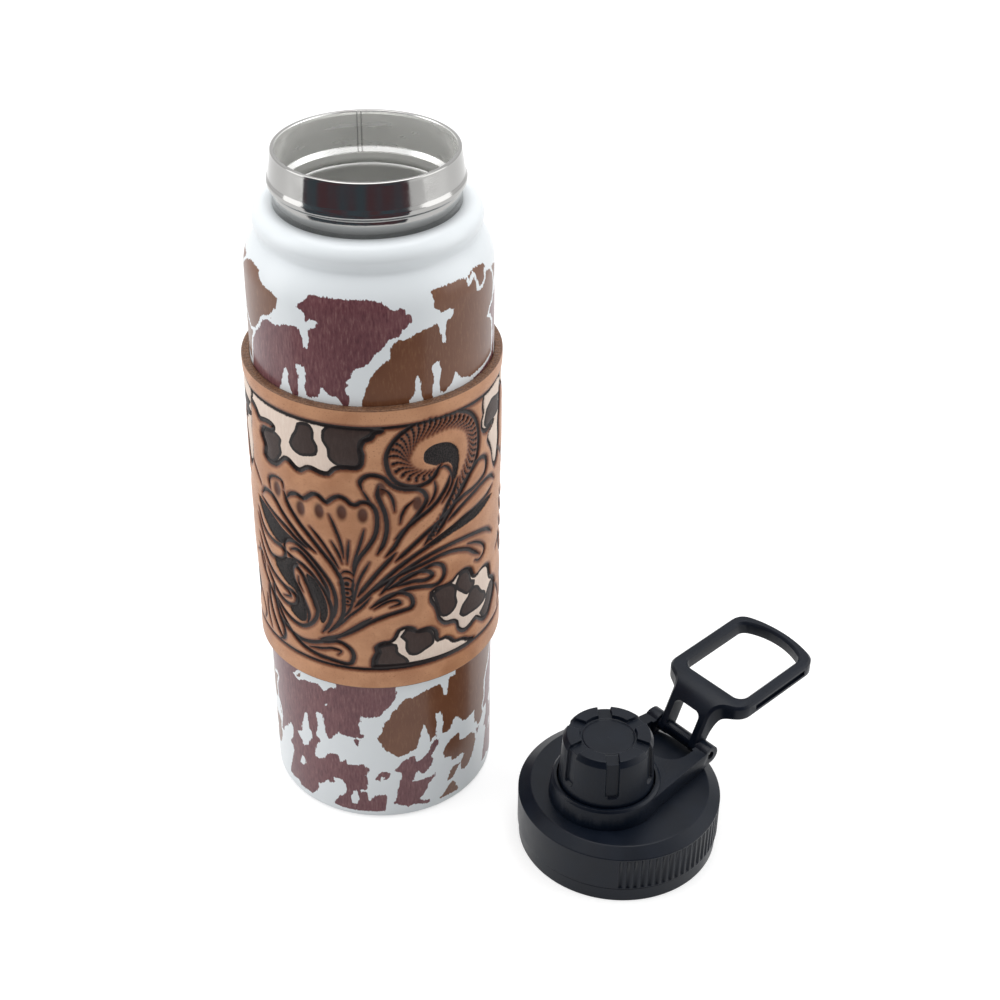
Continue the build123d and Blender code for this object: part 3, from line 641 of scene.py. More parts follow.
def paint_material():
    """White paint under two print colours, each masked by its signed distance."""
    s = Finish("painted_shell")
    place = s.place()
    hairs = s.noise(s.stretched(place, (1.0, 1.0, RAGGED_STRETCH)), HAIR_SCALE, 2.0, 0.6)
    ragged = s.around_zero(hairs, RAGGED_MM)
    edge = s.math("ADD", ragged, s.around_zero(s.noise(place, WIDE_SCALE), WIDE_MM))
    purple = s.step(s.math("ADD", s.field("print_purple"), edge), -PRINT_SOFT_MM, PRINT_SOFT_MM)
    brown = s.step(s.math("ADD", s.field("print_brown"), edge), -PRINT_SOFT_MM, PRINT_SOFT_MM)
    hair = s.group(hair_streaks, Vector=place).outputs["Value"]
    streak = s.step(hair, 0.48, 0.78)
    fleck = s.step(hair, 0.34, 0.48, 0.6, 0.0)
    cloud = s.step(s.noise(place, 60.0), 0.3, 0.7)
    purple_tone = s.mix(streak, s.mix(cloud, PURPLE, PURPLE_LIGHT), PURPLE_STREAK)
    purple_tone = s.mix(fleck, purple_tone, PURPLE_FLECK)
    brown_tone = s.mix(streak, s.mix(cloud, BROWN, BROWN_LIGHT), BROWN_STREAK)
    colour = s.mix(brown, s.mix(purple, WHITE_PAINT, purple_tone), brown_tone)
    return s.set(
        Base_Color=colour,
        Roughness=0.34,
        Specular_IOR_Level=0.3,
        Coat_Weight=0.2,
        Coat_Roughness=0.12,
    )


hair_streaks = hair_group()
painted = paint_material()
print("paint nodes:", len(painted.node_tree.nodes))

# %% [markdown]
# ## The painted shell
# The outer wall of a vacuum bottle is a steel tube. Its shoulder is drawn in and its collar rolled towards
# the neck. Its side has a point every 0.75 mm or closer, which stores the print's distances well.

# %% Painted shell
SHOULDER_MM = 188.0
SHOULDER_ARC_MM, GROOVE_MM = 16.0, 32.5
ROLL_CENTRE_MM, ROLL_MM = (29.0, 202.8), 4.3
SHELL_WALL_MM = 0.6
PRINT_STEP_MM = 0.75
UP = np.array((0.0, 1.0))


def shoulder_profile():
    """The shoulder arc, the swell into the collar and the collar's roll, in mm."""
    centre = (BODY_MM - SHOULDER_ARC_MM, SHOULDER_MM)
    top_angle = math.acos((GROOVE_MM - centre[0]) / SHOULDER_ARC_MM)
    shoulder = arc(centre, SHOULDER_ARC_MM, 0, top_angle, 22)
    start = np.array(shoulder[-1])
    end = np.array((ROLL_CENTRE_MM[0] + ROLL_MM, ROLL_CENTRE_MM[1]))
    lead = np.array((-math.sin(top_angle), math.cos(top_angle)))
    span = np.linalg.norm(end - start)
    swell = []
    for t in np.linspace(0, 1, 10)[1:-1]:
        h1, h2 = 2 * t**3 - 3 * t**2 + 1, t**3 - 2 * t**2 + t
        h3, h4 = -2 * t**3 + 3 * t**2, t**3 - t**2
        swell.append(tuple(h1 * start + h2 * span * lead + h3 * end + h4 * span * UP))
    roll = arc(ROLL_CENTRE_MM, ROLL_MM, 0, math.pi / 2, 16)
    return np.array(shoulder + swell + roll + [(27.25, 207.1), (27.0, 207.0)])


shell_profile = rounded(
    [
        (32.0, 0.6, 0), (32.0, 0.0, 0.15), (BODY_MM, 0.0, 2.5), (BODY_MM, 60.0, 0), (BODY_MM, 160.0, 0),
        (BODY_MM, SHOULDER_MM, 0),
    ],
    8,
)
side = refine(shell_profile, PRINT_STEP_MM)
skin = walled(np.vstack([side, shoulder_profile()[1:]]), SHELL_WALL_MM, 8)
shell = lathe("painted_shell", skin, 360, fields=print_fields)
dress(shell, painted, "bottle", "painted_shell", "outer_shell")
print("shell points:", len(shell.data.vertices))

# %% [markdown]
# ## Steel
# The outside of the neck is polished. A plain metallic colour would look like a perfect mirror there, so
# very fine marks and a faint wobble bend its reflections. The inside of the rim is softer, and its colour is
# painted far brighter than the outside's: painted light falling into the mouth. A weld seam runs down its
# far side. The vessel under it is satin, with turning marks. It is only half metallic, because full metal
# came out darker there than in the photo.

# %% Steel materials
POLISHED = (0.37, 0.366, 0.357, 1.0)
# The rim's inside colour is painted far brighter than the polished outside: painted light falling into the
# mouth. The seam is a dark weld line.
RIM_INSIDE_PAINTED_LIGHT, SEAM_DARK = (0.92, 0.92, 0.90, 1.0), (0.36, 0.36, 0.35, 1.0)
WOBBLE, WOBBLE_HEIGHT = 0.35, 0.0004
FINE, FINE_HEIGHT = 0.1, 0.00005
TURNING, TURNING_HEIGHT = 0.25, 0.00003


def polished_material():
    """Mirror steel outside, and softer steel inside with its colour painted brighter as light in the mouth,
    told apart by a field.
    """
    s = Finish("polished_steel")
    place = s.place()
    smear = s.noise(s.stretched(place, (1.0, 1.0, 6.0)), 60.0, 3.0, 0.6)
    wobble = s.noise(s.stretched(place, (1.0, 1.0, 0.35)), 90.0, 1.0, 0.4)
    fine = s.noise(s.stretched(place, (1.0, 1.0, 14.0)), 500.0)
    inner = s.field("satin")
    outer = s.math("SUBTRACT", 1.0, inner)
    lines = s.bump(s.math("MULTIPLY", fine, outer), FINE, FINE_HEIGHT)
    bright = s.step(smear, 0.3, 0.8, 0.07, 0.16)
    lit_inside_tone = s.mix(s.field("seam"), RIM_INSIDE_PAINTED_LIGHT, SEAM_DARK)
    return s.set(
        Base_Color=s.mix(inner, POLISHED, lit_inside_tone),
        Metallic=s.math("SUBTRACT", 1.0, s.math("MULTIPLY", inner, 0.25)),
        Roughness=s.math("ADD", bright, s.math("MULTIPLY", inner, 0.14)),
        Normal=s.bump(s.math("MULTIPLY", wobble, outer), WOBBLE, WOBBLE_HEIGHT, lines),
    )


def satin_material(name, tone, metallic):
    """Steel with fine marks round the axis, as a turned piece has."""
    s = Finish(name)
    place = s.place()
    lines = s.noise(s.stretched(place, (0.02, 0.02, 1.0)), 9000.0, 2.0, 0.6)
    return s.set(
        Base_Color=(tone, tone, 0.98 * tone, 1.0),
        Metallic=metallic,
        Roughness=s.step(s.noise(place, 70.0), 0.2, 0.8, 0.42, 0.52),
        Normal=s.bump(lines, TURNING, TURNING_HEIGHT),
    )


polished = polished_material()
vessel_satin = satin_material("satin_steel", 0.86, 0.5)
plate_satin = satin_material("satin_plate", 0.45, 1.0)
print("nodes in the polished steel:", len(polished.node_tree.nodes))

# %% [markdown]
# ## The neck
# The neck is one piece of steel: a bead above the collar, a tapering wall and a rolled rim to drink from.
# Its inside ends on a ledge. The weld seam is two close lines, raised a little from the rim's inside wall.

# %% Neck and rim
SEAM_ANGLE = math.radians(94.0)
SEAM_HALF_GAP_MM, SEAM_LINE_MM, SEAM_HEIGHT_MM = 0.6, 0.17, 0.10
SEAM_WALL_MM, SEAM_FOOT_MM = 25.9, 211.0


def seam_lines(r, z, t):
    """Two close upright lines, 0 to 1, on the far side of the rim's inside wall."""
    away = (t - SEAM_ANGLE + math.pi) % (2 * math.pi) - math.pi
    lines = np.exp(-((np.abs(away * r) - SEAM_HALF_GAP_MM) / SEAM_LINE_MM) ** 2)
    return np.where((r < SEAM_WALL_MM) & (z > SEAM_FOOT_MM), lines, 0.0)


def weld_seam(r, z, t):
    """Raises the two lines a little from the wall."""
    return r - SEAM_HEIGHT_MM * seam_lines(r, z, t), z


def steel_fields(r, z, t):
    """Where the neck is inside and not polished, and where the seam runs."""
    return {"satin": 1.0 - smoothstep(25.7, 25.95, r), "seam": seam_lines(r, z, t)}


neck_profile = rounded(
    [
        (26.4, 206.9, 0), (27.2, 206.9, 0), (27.2, 212.4, 0.8), (28.45, 213.2, 0.9), (28.5, 214.6, 1.0),
        (27.95, 215.7, 0.7), (27.0, 222.4, 0.3), (26.94, 223.25, 0.5), (25.7, 223.3, 0.45),
        (25.6, 222.2, 0.3), (25.6, 212.3, 0.5), (24.5, 210.9, 0.6), (24.3, 209.2, 0.5), (24.3, 207.6, 0),
    ],
    6,
)
neck = lathe("neck_and_rim", neck_profile, 1080, shape=weld_seam, fields=steel_fields)
dress(neck, polished, "bottle", "polished_steel", "neck_band")
print("neck points:", len(neck.data.vertices))

# %% [markdown]
# ## The vessel
# The drink stands in a second bottle inside the first, and the vacuum between the two keeps the heat. Only
# its throat shows, but the whole wall is made, so that the mouth looks deep from every side.

# %% Vessel
VESSEL_MM, THROAT_MM, THROAT_TOP_MM, LEDGE_MM = 32.8, 24.3, 206.5, 207.6
FLOOR_MM, FLOOR_ROUND_MM = 6.5, 6.0
chord = np.array((THROAT_MM, THROAT_TOP_MM)) - np.array((VESSEL_MM, SHOULDER_MM))
bend_mm = (chord @ chord) / (2 * abs(chord[0]))
vessel_curve = [(THROAT_MM, LEDGE_MM)]
vessel_curve += arc((VESSEL_MM - bend_mm, SHOULDER_MM), bend_mm, math.asin(chord[1] / bend_mm), 0, 14)
vessel_curve += [(VESSEL_MM, height) for height in (150.0, 100.0, 50.0)]
floor_centre = (VESSEL_MM - FLOOR_ROUND_MM, FLOOR_MM + FLOOR_ROUND_MM)
vessel_curve += arc(floor_centre, FLOOR_ROUND_MM, 0, -math.pi / 2, 10)
vessel_curve += [(r, FLOOR_MM) for r in (20.0, 10.0, AXIS_MM)]
vessel = lathe("vessel_inside", walled(np.array(vessel_curve), SHELL_WALL_MM))
dress(vessel, vessel_satin, "bottle", "satin_steel", "inner_vessel")
for node in ("base_plate", "getter", "vacuum_plug"):
    finish_node(node, plate_satin)
finish_node("hinge_pin", polished)
print("vessel points:", len(vessel.data.vertices))

# %% [markdown]
# ## Carved sleeve: the drawing
# Western tooling is cut with a swivel knife, bevelled on one side of each cut and matted behind the leaves.
# A sculpted mesh would hide how it was drawn, so each cut is a drawn line here. The drawing repeats
# round the bottle.

# %% Carving lines
CARVED_FAN = [
    [(-31, 126), (-29.5, 122), (-26, 117.5), (-22, 113.5), (-18, 109), (-14, 104), (-12.5, 100)],
    [(-30, 124), (-28.5, 126), (-26, 127), (-23.5, 126.3), (-22, 127.3), (-20, 129), (-18, 129),
     (-16, 127.3), (-15, 127.5), (-13.5, 129), (-11.5, 130), (-9.5, 129.3), (-8, 127.8), (-6.5, 127.5),
     (-5, 128.5), (-3, 128.5), (-1.5, 127.3), (-0.5, 125), (-0.3, 121), (-1, 117), (-3, 113), (-6, 108.5),
     (-7.5, 105), (-8, 101.5)],
    [(-21.5, 117), (-18, 113), (-15, 108.5), (-12.5, 104)],
    [(-14.8, 123), (-13, 118), (-11.5, 113), (-10.8, 108)],
    [(-4.2, 119), (-5.5, 114), (-7, 109), (-8.3, 105)],
    [(-9, 114.5), (-9.5, 110), (-9.8, 106)],
    [(-14.5, 113.5), (-12.5, 109.5), (-11.3, 106)],
    [(-37.5, 124), (-38, 127), (-36.5, 128.8), (-34, 129.6), (-31.5, 129.2), (-31, 127)],
    [(-12.2, 101.4), (-11, 102.9), (-9, 102.9), (-7.8, 101.4)],
]
CARVED_TULIP = [
    [(-4.5, 133), (-5, 135.5), (-3.5, 137.5), (-1, 138), (2, 136.8), (4, 134.5), (6, 133), (9, 132),
     (12, 131.5), (14, 130), (15, 127.5), (14, 125), (12, 122.5), (9, 119), (6.5, 115.5), (4.5, 112),
     (2, 109)],
    [(-4.5, 133), (-3.5, 131), (-2.5, 129), (-1.5, 126.5)],
    [(0.5, 134), (0, 131), (1, 128), (2.2, 124), (2.5, 119), (1.5, 114), (-0.5, 110)],
    [(1, 133), (3, 132), (4.5, 129), (5, 125)],
    [(11, 127.8), (8.5, 126), (7, 123), (6.5, 120.5)],
]
CARVED_SWIRL = [
    [(12, 153.5), (10, 153), (7, 151), (4.5, 148), (3, 144.5), (3, 141), (4, 137.5), (6, 134.8), (9, 133.2),
     (12, 132.5), (15, 133), (17.5, 134.5), (19, 137), (20, 138)],
    [(26, 153.5), (30, 152), (33, 149), (34.8, 145), (35.3, 140), (34.5, 135), (32, 131), (29, 127.5),
     (26.5, 124)],
    [(26, 131), (24.5, 127), (22, 123), (20, 119), (17, 115), (14, 111)],
    [(30, 130), (27, 126), (24, 121.5), (21, 117.5), (18, 113.5)],
    [(19, 136.5), (21, 137), (23, 135), (24, 131), (22.5, 127.5), (20, 124.5)],
    [(17.5, 133), (18, 130), (17, 127), (15, 124.5)],
    [(5, 115), (8, 118), (12, 121), (16, 123.5), (19, 126), (22, 130), (23, 133)],
]
CARVED_RIGHT = [
    [(27, 126), (30, 129), (33, 131.5), (36, 133), (39, 132), (40, 129.5), (39, 126.5), (36, 125), (32, 124),
     (28, 123.5), (24, 121.5), (20, 118.5), (15, 115.5), (10, 111.5), (5, 107)],
    [(22, 117), (27, 120), (32, 122), (38, 123.5), (43, 123), (46, 120.5)],
    [(44, 119), (40, 117.5), (34, 116.5), (28, 115.5), (22, 113), (16, 110.5), (10, 107.5), (4, 103)],
    [(0, 95), (5, 101), (10, 104.5), (16, 107), (22, 108), (28, 108), (34, 107), (40, 105), (44, 102)],
    [(-4, 95), (2, 99.5), (8, 102.5), (14, 104.3), (20, 105.5), (25, 105), (30, 103), (33, 100.5), (36, 98)],
    [(30, 105), (34, 103.5), (37, 101.5), (39, 99), (38.5, 97), (36, 95.8), (33.5, 97)],
    [(2, 96.5), (8, 100), (13, 102), (17, 103), (20, 101.5), (20.8, 98.5), (19.5, 96), (17, 95), (13, 95.8),
     (8, 96), (3, 94), (-2, 91)],
    [(6, 100), (11, 101.5), (15, 101), (16.5, 99), (14, 98), (10, 98.5), (5, 97.5)],
    [(-3, 90), (2, 94), (6, 95), (9, 93.5), (10, 91), (9.3, 88.8), (6, 88), (1, 86.5), (-4, 84), (-9, 80.5),
     (-14, 77.5), (-20, 75)],
    [(-2, 89.5), (2, 92), (5, 92.3), (6, 91), (3, 90)],
]
CARVED_LOW = [
    [(-20, 73.5), (-15, 75.5), (-12.5, 75.3), (-10, 73.5), (-9, 71), (-9.5, 68.5), (-11, 67.3), (-16, 67.8),
     (-22, 68.5), (-27, 70), (-31, 72.5), (-34.5, 76), (-37.5, 80), (-39, 83)],
    [(-24, 70.5), (-19, 71.5), (-16, 72.5), (-13, 72), (-14, 70.5)],
    [(-39, 78), (-36, 75), (-32, 73), (-27, 72), (-22, 73), (-18, 75), (-13, 78), (-8, 82), (-3, 86)],
    [(-38.5, 83), (-35, 80), (-31, 78), (-27, 77.5), (-24, 79), (-21.5, 82), (-20.5, 86), (-22, 91),
     (-24, 95), (-25.5, 98), (-28, 100), (-29.5, 98), (-29, 94.5), (-27, 91), (-25, 87), (-23.8, 83),
     (-24.5, 79.5)],
    [(-27, 96.5), (-27, 94), (-25.5, 91.5)],
    [(-24.5, 95), (-23, 92), (-21.5, 88), (-20.5, 84)],
    [(-32, 104), (-29, 102.5), (-25, 101.5), (-21.5, 99), (-18, 94.5), (-16, 90), (-15.5, 86), (-16.5, 82),
     (-19, 78)],
    [(-32, 104), (-32.5, 106.5), (-30.5, 108.5), (-27, 108.7), (-23, 106.5), (-19, 102.5), (-15.5, 97.5),
     (-14, 92), (-14.5, 87), (-16, 83)],
    [(-29.5, 105.5), (-27, 106.5), (-24, 105), (-20, 101), (-17, 96), (-16, 91)],
    [(-14, 104), (-12, 100), (-11.5, 95), (-11.5, 90), (-12, 86), (-14, 82), (-17, 78.5)],
    [(-8, 101), (-8.5, 97), (-8.5, 93), (-9.5, 89), (-12, 85)],
    [(-3, 107), (-6, 101), (-7.5, 96), (-8, 92)],
    [(5, 110), (0, 104), (-4, 98.5), (-7, 94)],
    [(10, 108), (4, 103), (-1, 98), (-5, 93.5), (-8, 90)],
    [(-3, 94), (-6, 90), (-10, 86), (-14, 81)],
]
CARVED_LEFT = [
    [(-43, 119.5), (-41, 121.8), (-38, 122.3), (-35.5, 121), (-32, 117.5), (-28, 114), (-24, 110.5),
     (-20, 108)],
    [(-43, 118), (-40, 116.5), (-36, 115), (-31, 113), (-27, 110.5), (-23, 108.5)],
    [(-43, 122.5), (-46, 125.5), (-49, 128.5), (-51, 132)],
    [(-47, 112), (-45, 108), (-42, 105.5), (-38, 104.5), (-34, 104.5), (-32.3, 103), (-33, 100.5),
     (-36, 98.8), (-40, 98.5), (-43, 101), (-46, 105), (-48, 109)],
    [(-48, 102), (-45, 97), (-41, 93), (-37, 90.8), (-33, 89.5), (-30, 89.3), (-28.3, 87.5), (-29, 84.8),
     (-32, 83.5), (-36, 84.5), (-40, 88), (-43, 92)],
    [(-36, 90), (-32, 88.5), (-31, 87), (-34, 86)],
    [(-49, 97), (-47, 91), (-43, 86), (-40, 82), (-38, 78)],
    [(-52, 93), (-48, 95), (-45.5, 93), (-45, 90)],
    [(-43, 86), (-43, 80), (-41.5, 75), (-38.5, 70), (-36, 67.5)],
    [(-40, 88), (-39.5, 82), (-37.5, 76), (-35.3, 72), (-35.5, 68.5), (-38, 66.5)],
    [(-45, 80), (-45, 73), (-43, 68)],
    [(-52, 79), (-49, 75), (-47.5, 71), (-49, 68)],
]
ROPE_CENTRE = [
    (18.5, 136), (15, 135.5), (11, 136.5), (8, 139), (6.5, 143), (8, 147.5), (12, 151), (17, 152), (22, 152),
    (27, 150.5), (31, 147), (32.5, 142), (32, 137), (29.5, 132), (26.5, 127.5), (23.5, 123), (20, 118.5),
    (16, 114),
]
BEADS = [(-10.2, 98.5, 1.9), (-10.2, 95.0, 1.5), (-10.2, 91.8, 1.2)]
HOLLOWS = [(-24.5, 122.5), (-18, 123.5), (-10.8, 124.5), (-4.5, 124), (-34, 125.5), (1, 133), (12, 126.5)]
CARVED_LINES = CARVED_FAN + CARVED_TULIP + CARVED_SWIRL + CARVED_RIGHT + CARVED_LOW + CARVED_LEFT
print("carved lines:", len(CARVED_LINES))

# %% [markdown]
# ## Matted ground and inlays
# Behind some leaves the ground is stamped down and darkened, so that the leaves stand out. Four inlays of
# hair-on hide sit among them. Both are areas, so they are drawn as closed outlines and not as lines.

# %% Matted ground and inlays
MATTED = [
    [(14, 142), (14.5, 144), (16.5, 145.3), (19, 145.6), (22, 145), (24.5, 143.3), (26, 141), (26.5, 138),
     (26.2, 134.5), (25.3, 131.5), (24.5, 131), (24, 134), (23.8, 136), (22.5, 137.7), (20, 138.3),
     (18.5, 138), (16, 139.2), (14.3, 140.5)],
    [(14, 110.5), (20, 113.5), (27, 115.5), (34, 116), (41, 116.5), (44, 116), (40, 114.5), (34, 113),
     (28, 112.5), (22, 111.5), (17, 110)],
    [(-46, 117.5), (-43, 116.5), (-38, 114.5), (-33, 112), (-28, 109.5), (-31, 108.5), (-33, 106),
     (-34.5, 105.3), (-37, 106), (-40, 108), (-43, 111), (-45.5, 114.5)],
    [(-38.5, 98), (-35, 99), (-32.5, 101), (-29.5, 102), (-26.5, 100.7), (-29, 99.8), (-30, 97.5),
     (-29.5, 94.5), (-27.5, 91.5), (-25.8, 88), (-24.7, 84), (-25, 80.3), (-27, 79.2), (-30, 80.5),
     (-31.8, 82.5), (-29, 84.5), (-28.3, 88), (-29, 90.3), (-32, 91.3), (-35, 93.5), (-37.5, 96)],
    [(-23.8, 99), (-21, 97.5), (-18.5, 93.5), (-17, 89), (-17, 85), (-18.5, 81.5), (-19.8, 82.5),
     (-19.8, 86), (-21, 90), (-23, 94), (-24, 97)],
]
INLAYS = [
    [(-48, 150.5), (-46.5, 152), (-45, 153.5), (-1.5, 153.5), (-0.5, 152), (-1.5, 150.3), (-3.5, 149.5),
     (-4.5, 147), (-4, 145), (-4.5, 141.5), (-6, 140.3), (-8, 140.3), (-11, 140), (-13, 139), (-14.5, 137.3),
     (-17, 137.2), (-20, 138), (-22, 137.5), (-24, 136), (-26, 136.5), (-28, 138), (-30, 138), (-32, 136),
     (-34, 134.2), (-37, 133.8), (-39.3, 135), (-38.7, 138), (-39.5, 140), (-40.5, 142), (-39, 144.5),
     (-35, 145.3), (-34, 147), (-36, 147.7), (-39, 147.2), (-41, 146.6), (-42.5, 147.5), (-44, 149)],
    [(16.3, 92.5), (18, 93.5), (21, 93.3), (24, 93.8), (26, 95.3), (29, 95.8), (31.5, 94.5), (32.8, 91.5),
     (34.5, 90.3), (37, 91), (39.5, 91.2), (42, 89.8), (42.7, 87), (43.5, 84.5), (46, 82.5), (47.5, 80),
     (46.5, 76.5), (44, 73), (42, 70.8), (39, 70.6), (36.5, 72.5), (34.5, 74), (32, 73), (29, 72.2),
     (26.5, 74), (25.7, 77), (24, 78.3), (21, 79), (19, 81.5), (18.3, 84.5), (17.5, 87), (16.2, 89.5)],
    [(-3, 67), (-2.7, 70), (-1.5, 72.5), (-1.8, 74.5), (0, 76), (3, 76.5), (4.5, 78.3), (5.5, 80.5),
     (8, 81.2), (10, 80.3), (11, 79), (13, 79.2), (15.5, 79), (17.5, 77), (17.8, 74.5), (18.5, 73),
     (21, 73.2), (23, 71.8), (24.5, 70), (28, 69.2), (30, 67.8), (30.7, 66)],
    [(38.3, 153.5), (37.8, 150), (38.3, 147.5), (37.3, 145.5), (37.5, 142.5), (39.5, 140.8), (43, 141.5),
     (46, 141), (44, 139.8), (42, 139.3), (41, 137), (42.5, 134.5), (44, 131.5), (45, 127.5), (46.5, 125),
     (48.5, 126), (50, 129), (51, 133), (50.5, 138), (51.5, 143), (51.8, 148), (52, 153.5)],
]
INLAY_SPOTS = [
    [(-39.5, 140.5), (-40, 142.5), (-38.5, 144), (-35, 145), (-32.5, 145), (-31, 144), (-31.5, 142),
     (-31.3, 139.5), (-32.5, 137.5), (-35, 134.7), (-37.5, 134.8), (-38.5, 137), (-38.8, 139)],
    [(-27, 144.5), (-26, 147), (-24.5, 149.5), (-23.8, 151.8), (-22, 152.5), (-19.8, 152.3), (-18.8, 150.5),
     (-19, 148.3), (-17.8, 146), (-18.3, 143.3), (-21, 142.3), (-23.5, 141.8), (-26, 142.8)],
    [(-15.5, 151.5), (-14, 153.3), (-11.5, 153.6), (-2, 153.6), (-1.2, 152), (-4.5, 149.5), (-5, 146.5),
     (-4.7, 142.5), (-6, 140.8), (-10, 140.5), (-12.5, 141.5), (-14, 143.5), (-14, 146), (-15.5, 148.5)],
    [(17, 91.5), (19, 92.8), (23.5, 92.7), (25, 90.5), (24.8, 87.5), (25.3, 85), (24, 82.8), (21.5, 81.8),
     (19.5, 82.8), (18.7, 85.5), (18, 88.3)],
    [(25.5, 92), (27, 94.5), (29.5, 94.9), (31.2, 93), (31.8, 90), (33.5, 89), (32.5, 87.2), (30, 86.3),
     (28, 88), (26, 90)],
    [(27, 80), (28, 82.5), (30.5, 84.5), (31.5, 86), (33.5, 86.8), (35.5, 85.5), (37, 83), (39.5, 81),
     (39.5, 78.7), (36.5, 77.8), (32, 78), (28.5, 78.3)],
    [(37, 74.5), (40, 77), (41, 80), (43.5, 82), (46, 81), (46.8, 78.5), (45, 75), (42, 71.5), (39.3, 71.5)],
    [(-2, 66.8), (-1.6, 70), (-0.5, 72.5), (-1, 74.3), (1.5, 75.2), (4.3, 75), (4.5, 72.5), (5.5, 71),
     (7.5, 69), (7.2, 66.8)],
    [(6.2, 78), (8, 80.3), (10.2, 79.3), (12, 78.5), (15, 78.2), (16.5, 76), (16.5, 73), (13.5, 71.5),
     (11, 70.3), (8.7, 71), (7.7, 73.5), (7.8, 76)],
    [(40.3, 148), (43, 149.7), (47, 149), (50.5, 148), (49, 146), (51, 144), (47, 142.7), (42, 141.7),
     (39, 143.5)],
]
print("inlays:", len(INLAYS), "spots:", len(INLAY_SPOTS))

# %% [markdown]
# ## Carved sleeve: the grid
# The sleeve is one strip of thick leather, bent round the bottle and laced at the back. A displacement
# texture would need a very dense mesh of its own, so the strip is a fine grid from the start. Its outer
# face is lowered by the drawing, never raised, and the leather keeps its real thickness.

# %% Sleeve grid
SLEEVE_MM, SLEEVE_INNER_MM = 39.18, 36.56
EDGE_MM = 0.6
SEAM_MM = 0.35
REACH_MM = 4.0
CARVING_REPEAT_MM = 100.0
CARVING_TURNS_MM = (-CARVING_REPEAT_MM, 0.0, CARVING_REPEAT_MM)
sleeve_low, sleeve_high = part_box("leather_sleeve")
low_mm, high_mm = sleeve_low[2] / MM, sleeve_high[2] / MM
u_end = math.pi * SLEEVE_MM - SEAM_MM
u_line = np.linspace(-u_end, u_end, 901)
z_line = np.linspace(low_mm + EDGE_MM, high_mm - EDGE_MM, 372)
u_grid, z_grid = np.meshgrid(u_line, z_line, indexing="ij")
cut = np.full(u_grid.shape, -REACH_MM)
print("grid step round the sleeve:", round(float(u_line[1] - u_line[0]), 2), "mm")

# %% [markdown]
# ## The cuts
# A swivel knife opens a cut that is widest in its middle and runs out at its ends. Short veins are finer
# than the long outlines. Each line raises a field of distances round itself, and the widest cut wins where
# lines meet.

# %% Cuts
MAIN_CUT_MM, VEIN_MM, MAIN_LENGTH_MM = 1.4, 0.9, 20.0
RUN_OUT_MM, RUN_OUT_WIDTH = 3.0, 0.3
CUT_STEP_MM = 0.8


def carve_path(path, half):
    """Raises the cut field along a path, on every repeat. `half` is half the cut's width at each point."""
    for turn_mm in CARVING_TURNS_MM:
        line = path + np.array((turn_mm, 0.0))
        for (x1, y1), (x2, y2), h1, h2 in zip(line, line[1:], half, half[1:]):
            i0, i1 = np.searchsorted(u_line, (min(x1, x2) - REACH_MM, max(x1, x2) + REACH_MM))
            j0, j1 = np.searchsorted(z_line, (min(y1, y2) - REACH_MM, max(y1, y2) + REACH_MM))
            if i0 == i1 or j0 == j1:
                continue
            x, y = u_line[i0:i1, None], z_line[None, j0:j1]
            dx, dy = x2 - x1, y2 - y1
            t = np.clip(((x - x1) * dx + (y - y1) * dy) / max(dx * dx + dy * dy, 1e-9), 0, 1)
            away = np.sqrt((x - x1 - t * dx) ** 2 + (y - y1 - t * dy) ** 2)
            part = cut[i0:i1, j0:j1]
            np.maximum(part, h1 + (h2 - h1) * t - away, out=part)


def path_run(path):
    """Length of the path up to each of its points, in mm."""
    return np.concatenate([[0.0], np.cumsum(np.linalg.norm(np.diff(path, axis=0), axis=1))])


def knife_line(points):
    """One cut of the swivel knife, which runs out at both ends."""
    path = smooth_path(points, CUT_STEP_MM)
    run = path_run(path)
    thin = np.clip(np.minimum(run, run[-1] - run) / RUN_OUT_MM, 0, 1)
    width = MAIN_CUT_MM if run[-1] > MAIN_LENGTH_MM else VEIN_MM
    carve_path(path, width / 2 * (RUN_OUT_WIDTH + (1 - RUN_OUT_WIDTH) * thin))


for line in CARVED_LINES:
    knife_line(line)
print("share of the sleeve that is cut:", round(float((cut > 0).mean()), 3))

# %% [markdown]
# ## The rope border
# The swirl has a border like a twisted rope. It is stamped: wedge marks, side by side, lean across the
# band. Each mark here runs from the inner side of the band to the outer side and gets wider and beaded on
# its way.

# %% Rope border
ROPE_MARK_MM, ROPE_BEAD_MM, ROPE_STEP_MM, ROPE_BOW_MM = 1.2, 1.1, 1.5, 0.9
ROPE_FINE_MM = 0.25
ROPE_SLANT = math.radians(32.0)
ROPE_PLACES = (0, 0.25, 0.45, 0.65, 1)
ROPE_INWARD_MM, ROPE_OUTWARD_MM = (1.2, 4.7, 2.6, 2.6, 1.8), (1.2, 3.3, 1.7, 2.2, 1.7)


def rope_mark(points):
    """One wedge mark, from its narrow first point to its wide last one."""
    path = smooth_path(points, ROPE_FINE_MM)
    run = path_run(path)
    beads = 0.68 + 0.32 * np.cos(2 * math.pi * run / ROPE_BEAD_MM)
    carve_path(path, ROPE_MARK_MM / 2 * (0.2 + 0.8 * run / run[-1]) * beads)


rope = smooth_path(ROPE_CENTRE, ROPE_STEP_MM)
heading = np.gradient(rope, axis=0)
heading /= np.linalg.norm(heading, axis=1, keepdims=True)
rope_run = np.linspace(0, 1, len(rope))
inner_reach = np.interp(rope_run, ROPE_PLACES, ROPE_INWARD_MM)
outer_reach = np.interp(rope_run, ROPE_PLACES, ROPE_OUTWARD_MM)
for point, way, inward, outward in zip(rope, heading, inner_reach, outer_reach):
    across = np.array((-way[1], way[0])) * math.cos(ROPE_SLANT) + way * math.sin(ROPE_SLANT)
    rope_mark([point - across * inward, point + way * ROPE_BOW_MM, point + across * outward])
print("rope marks:", len(rope))

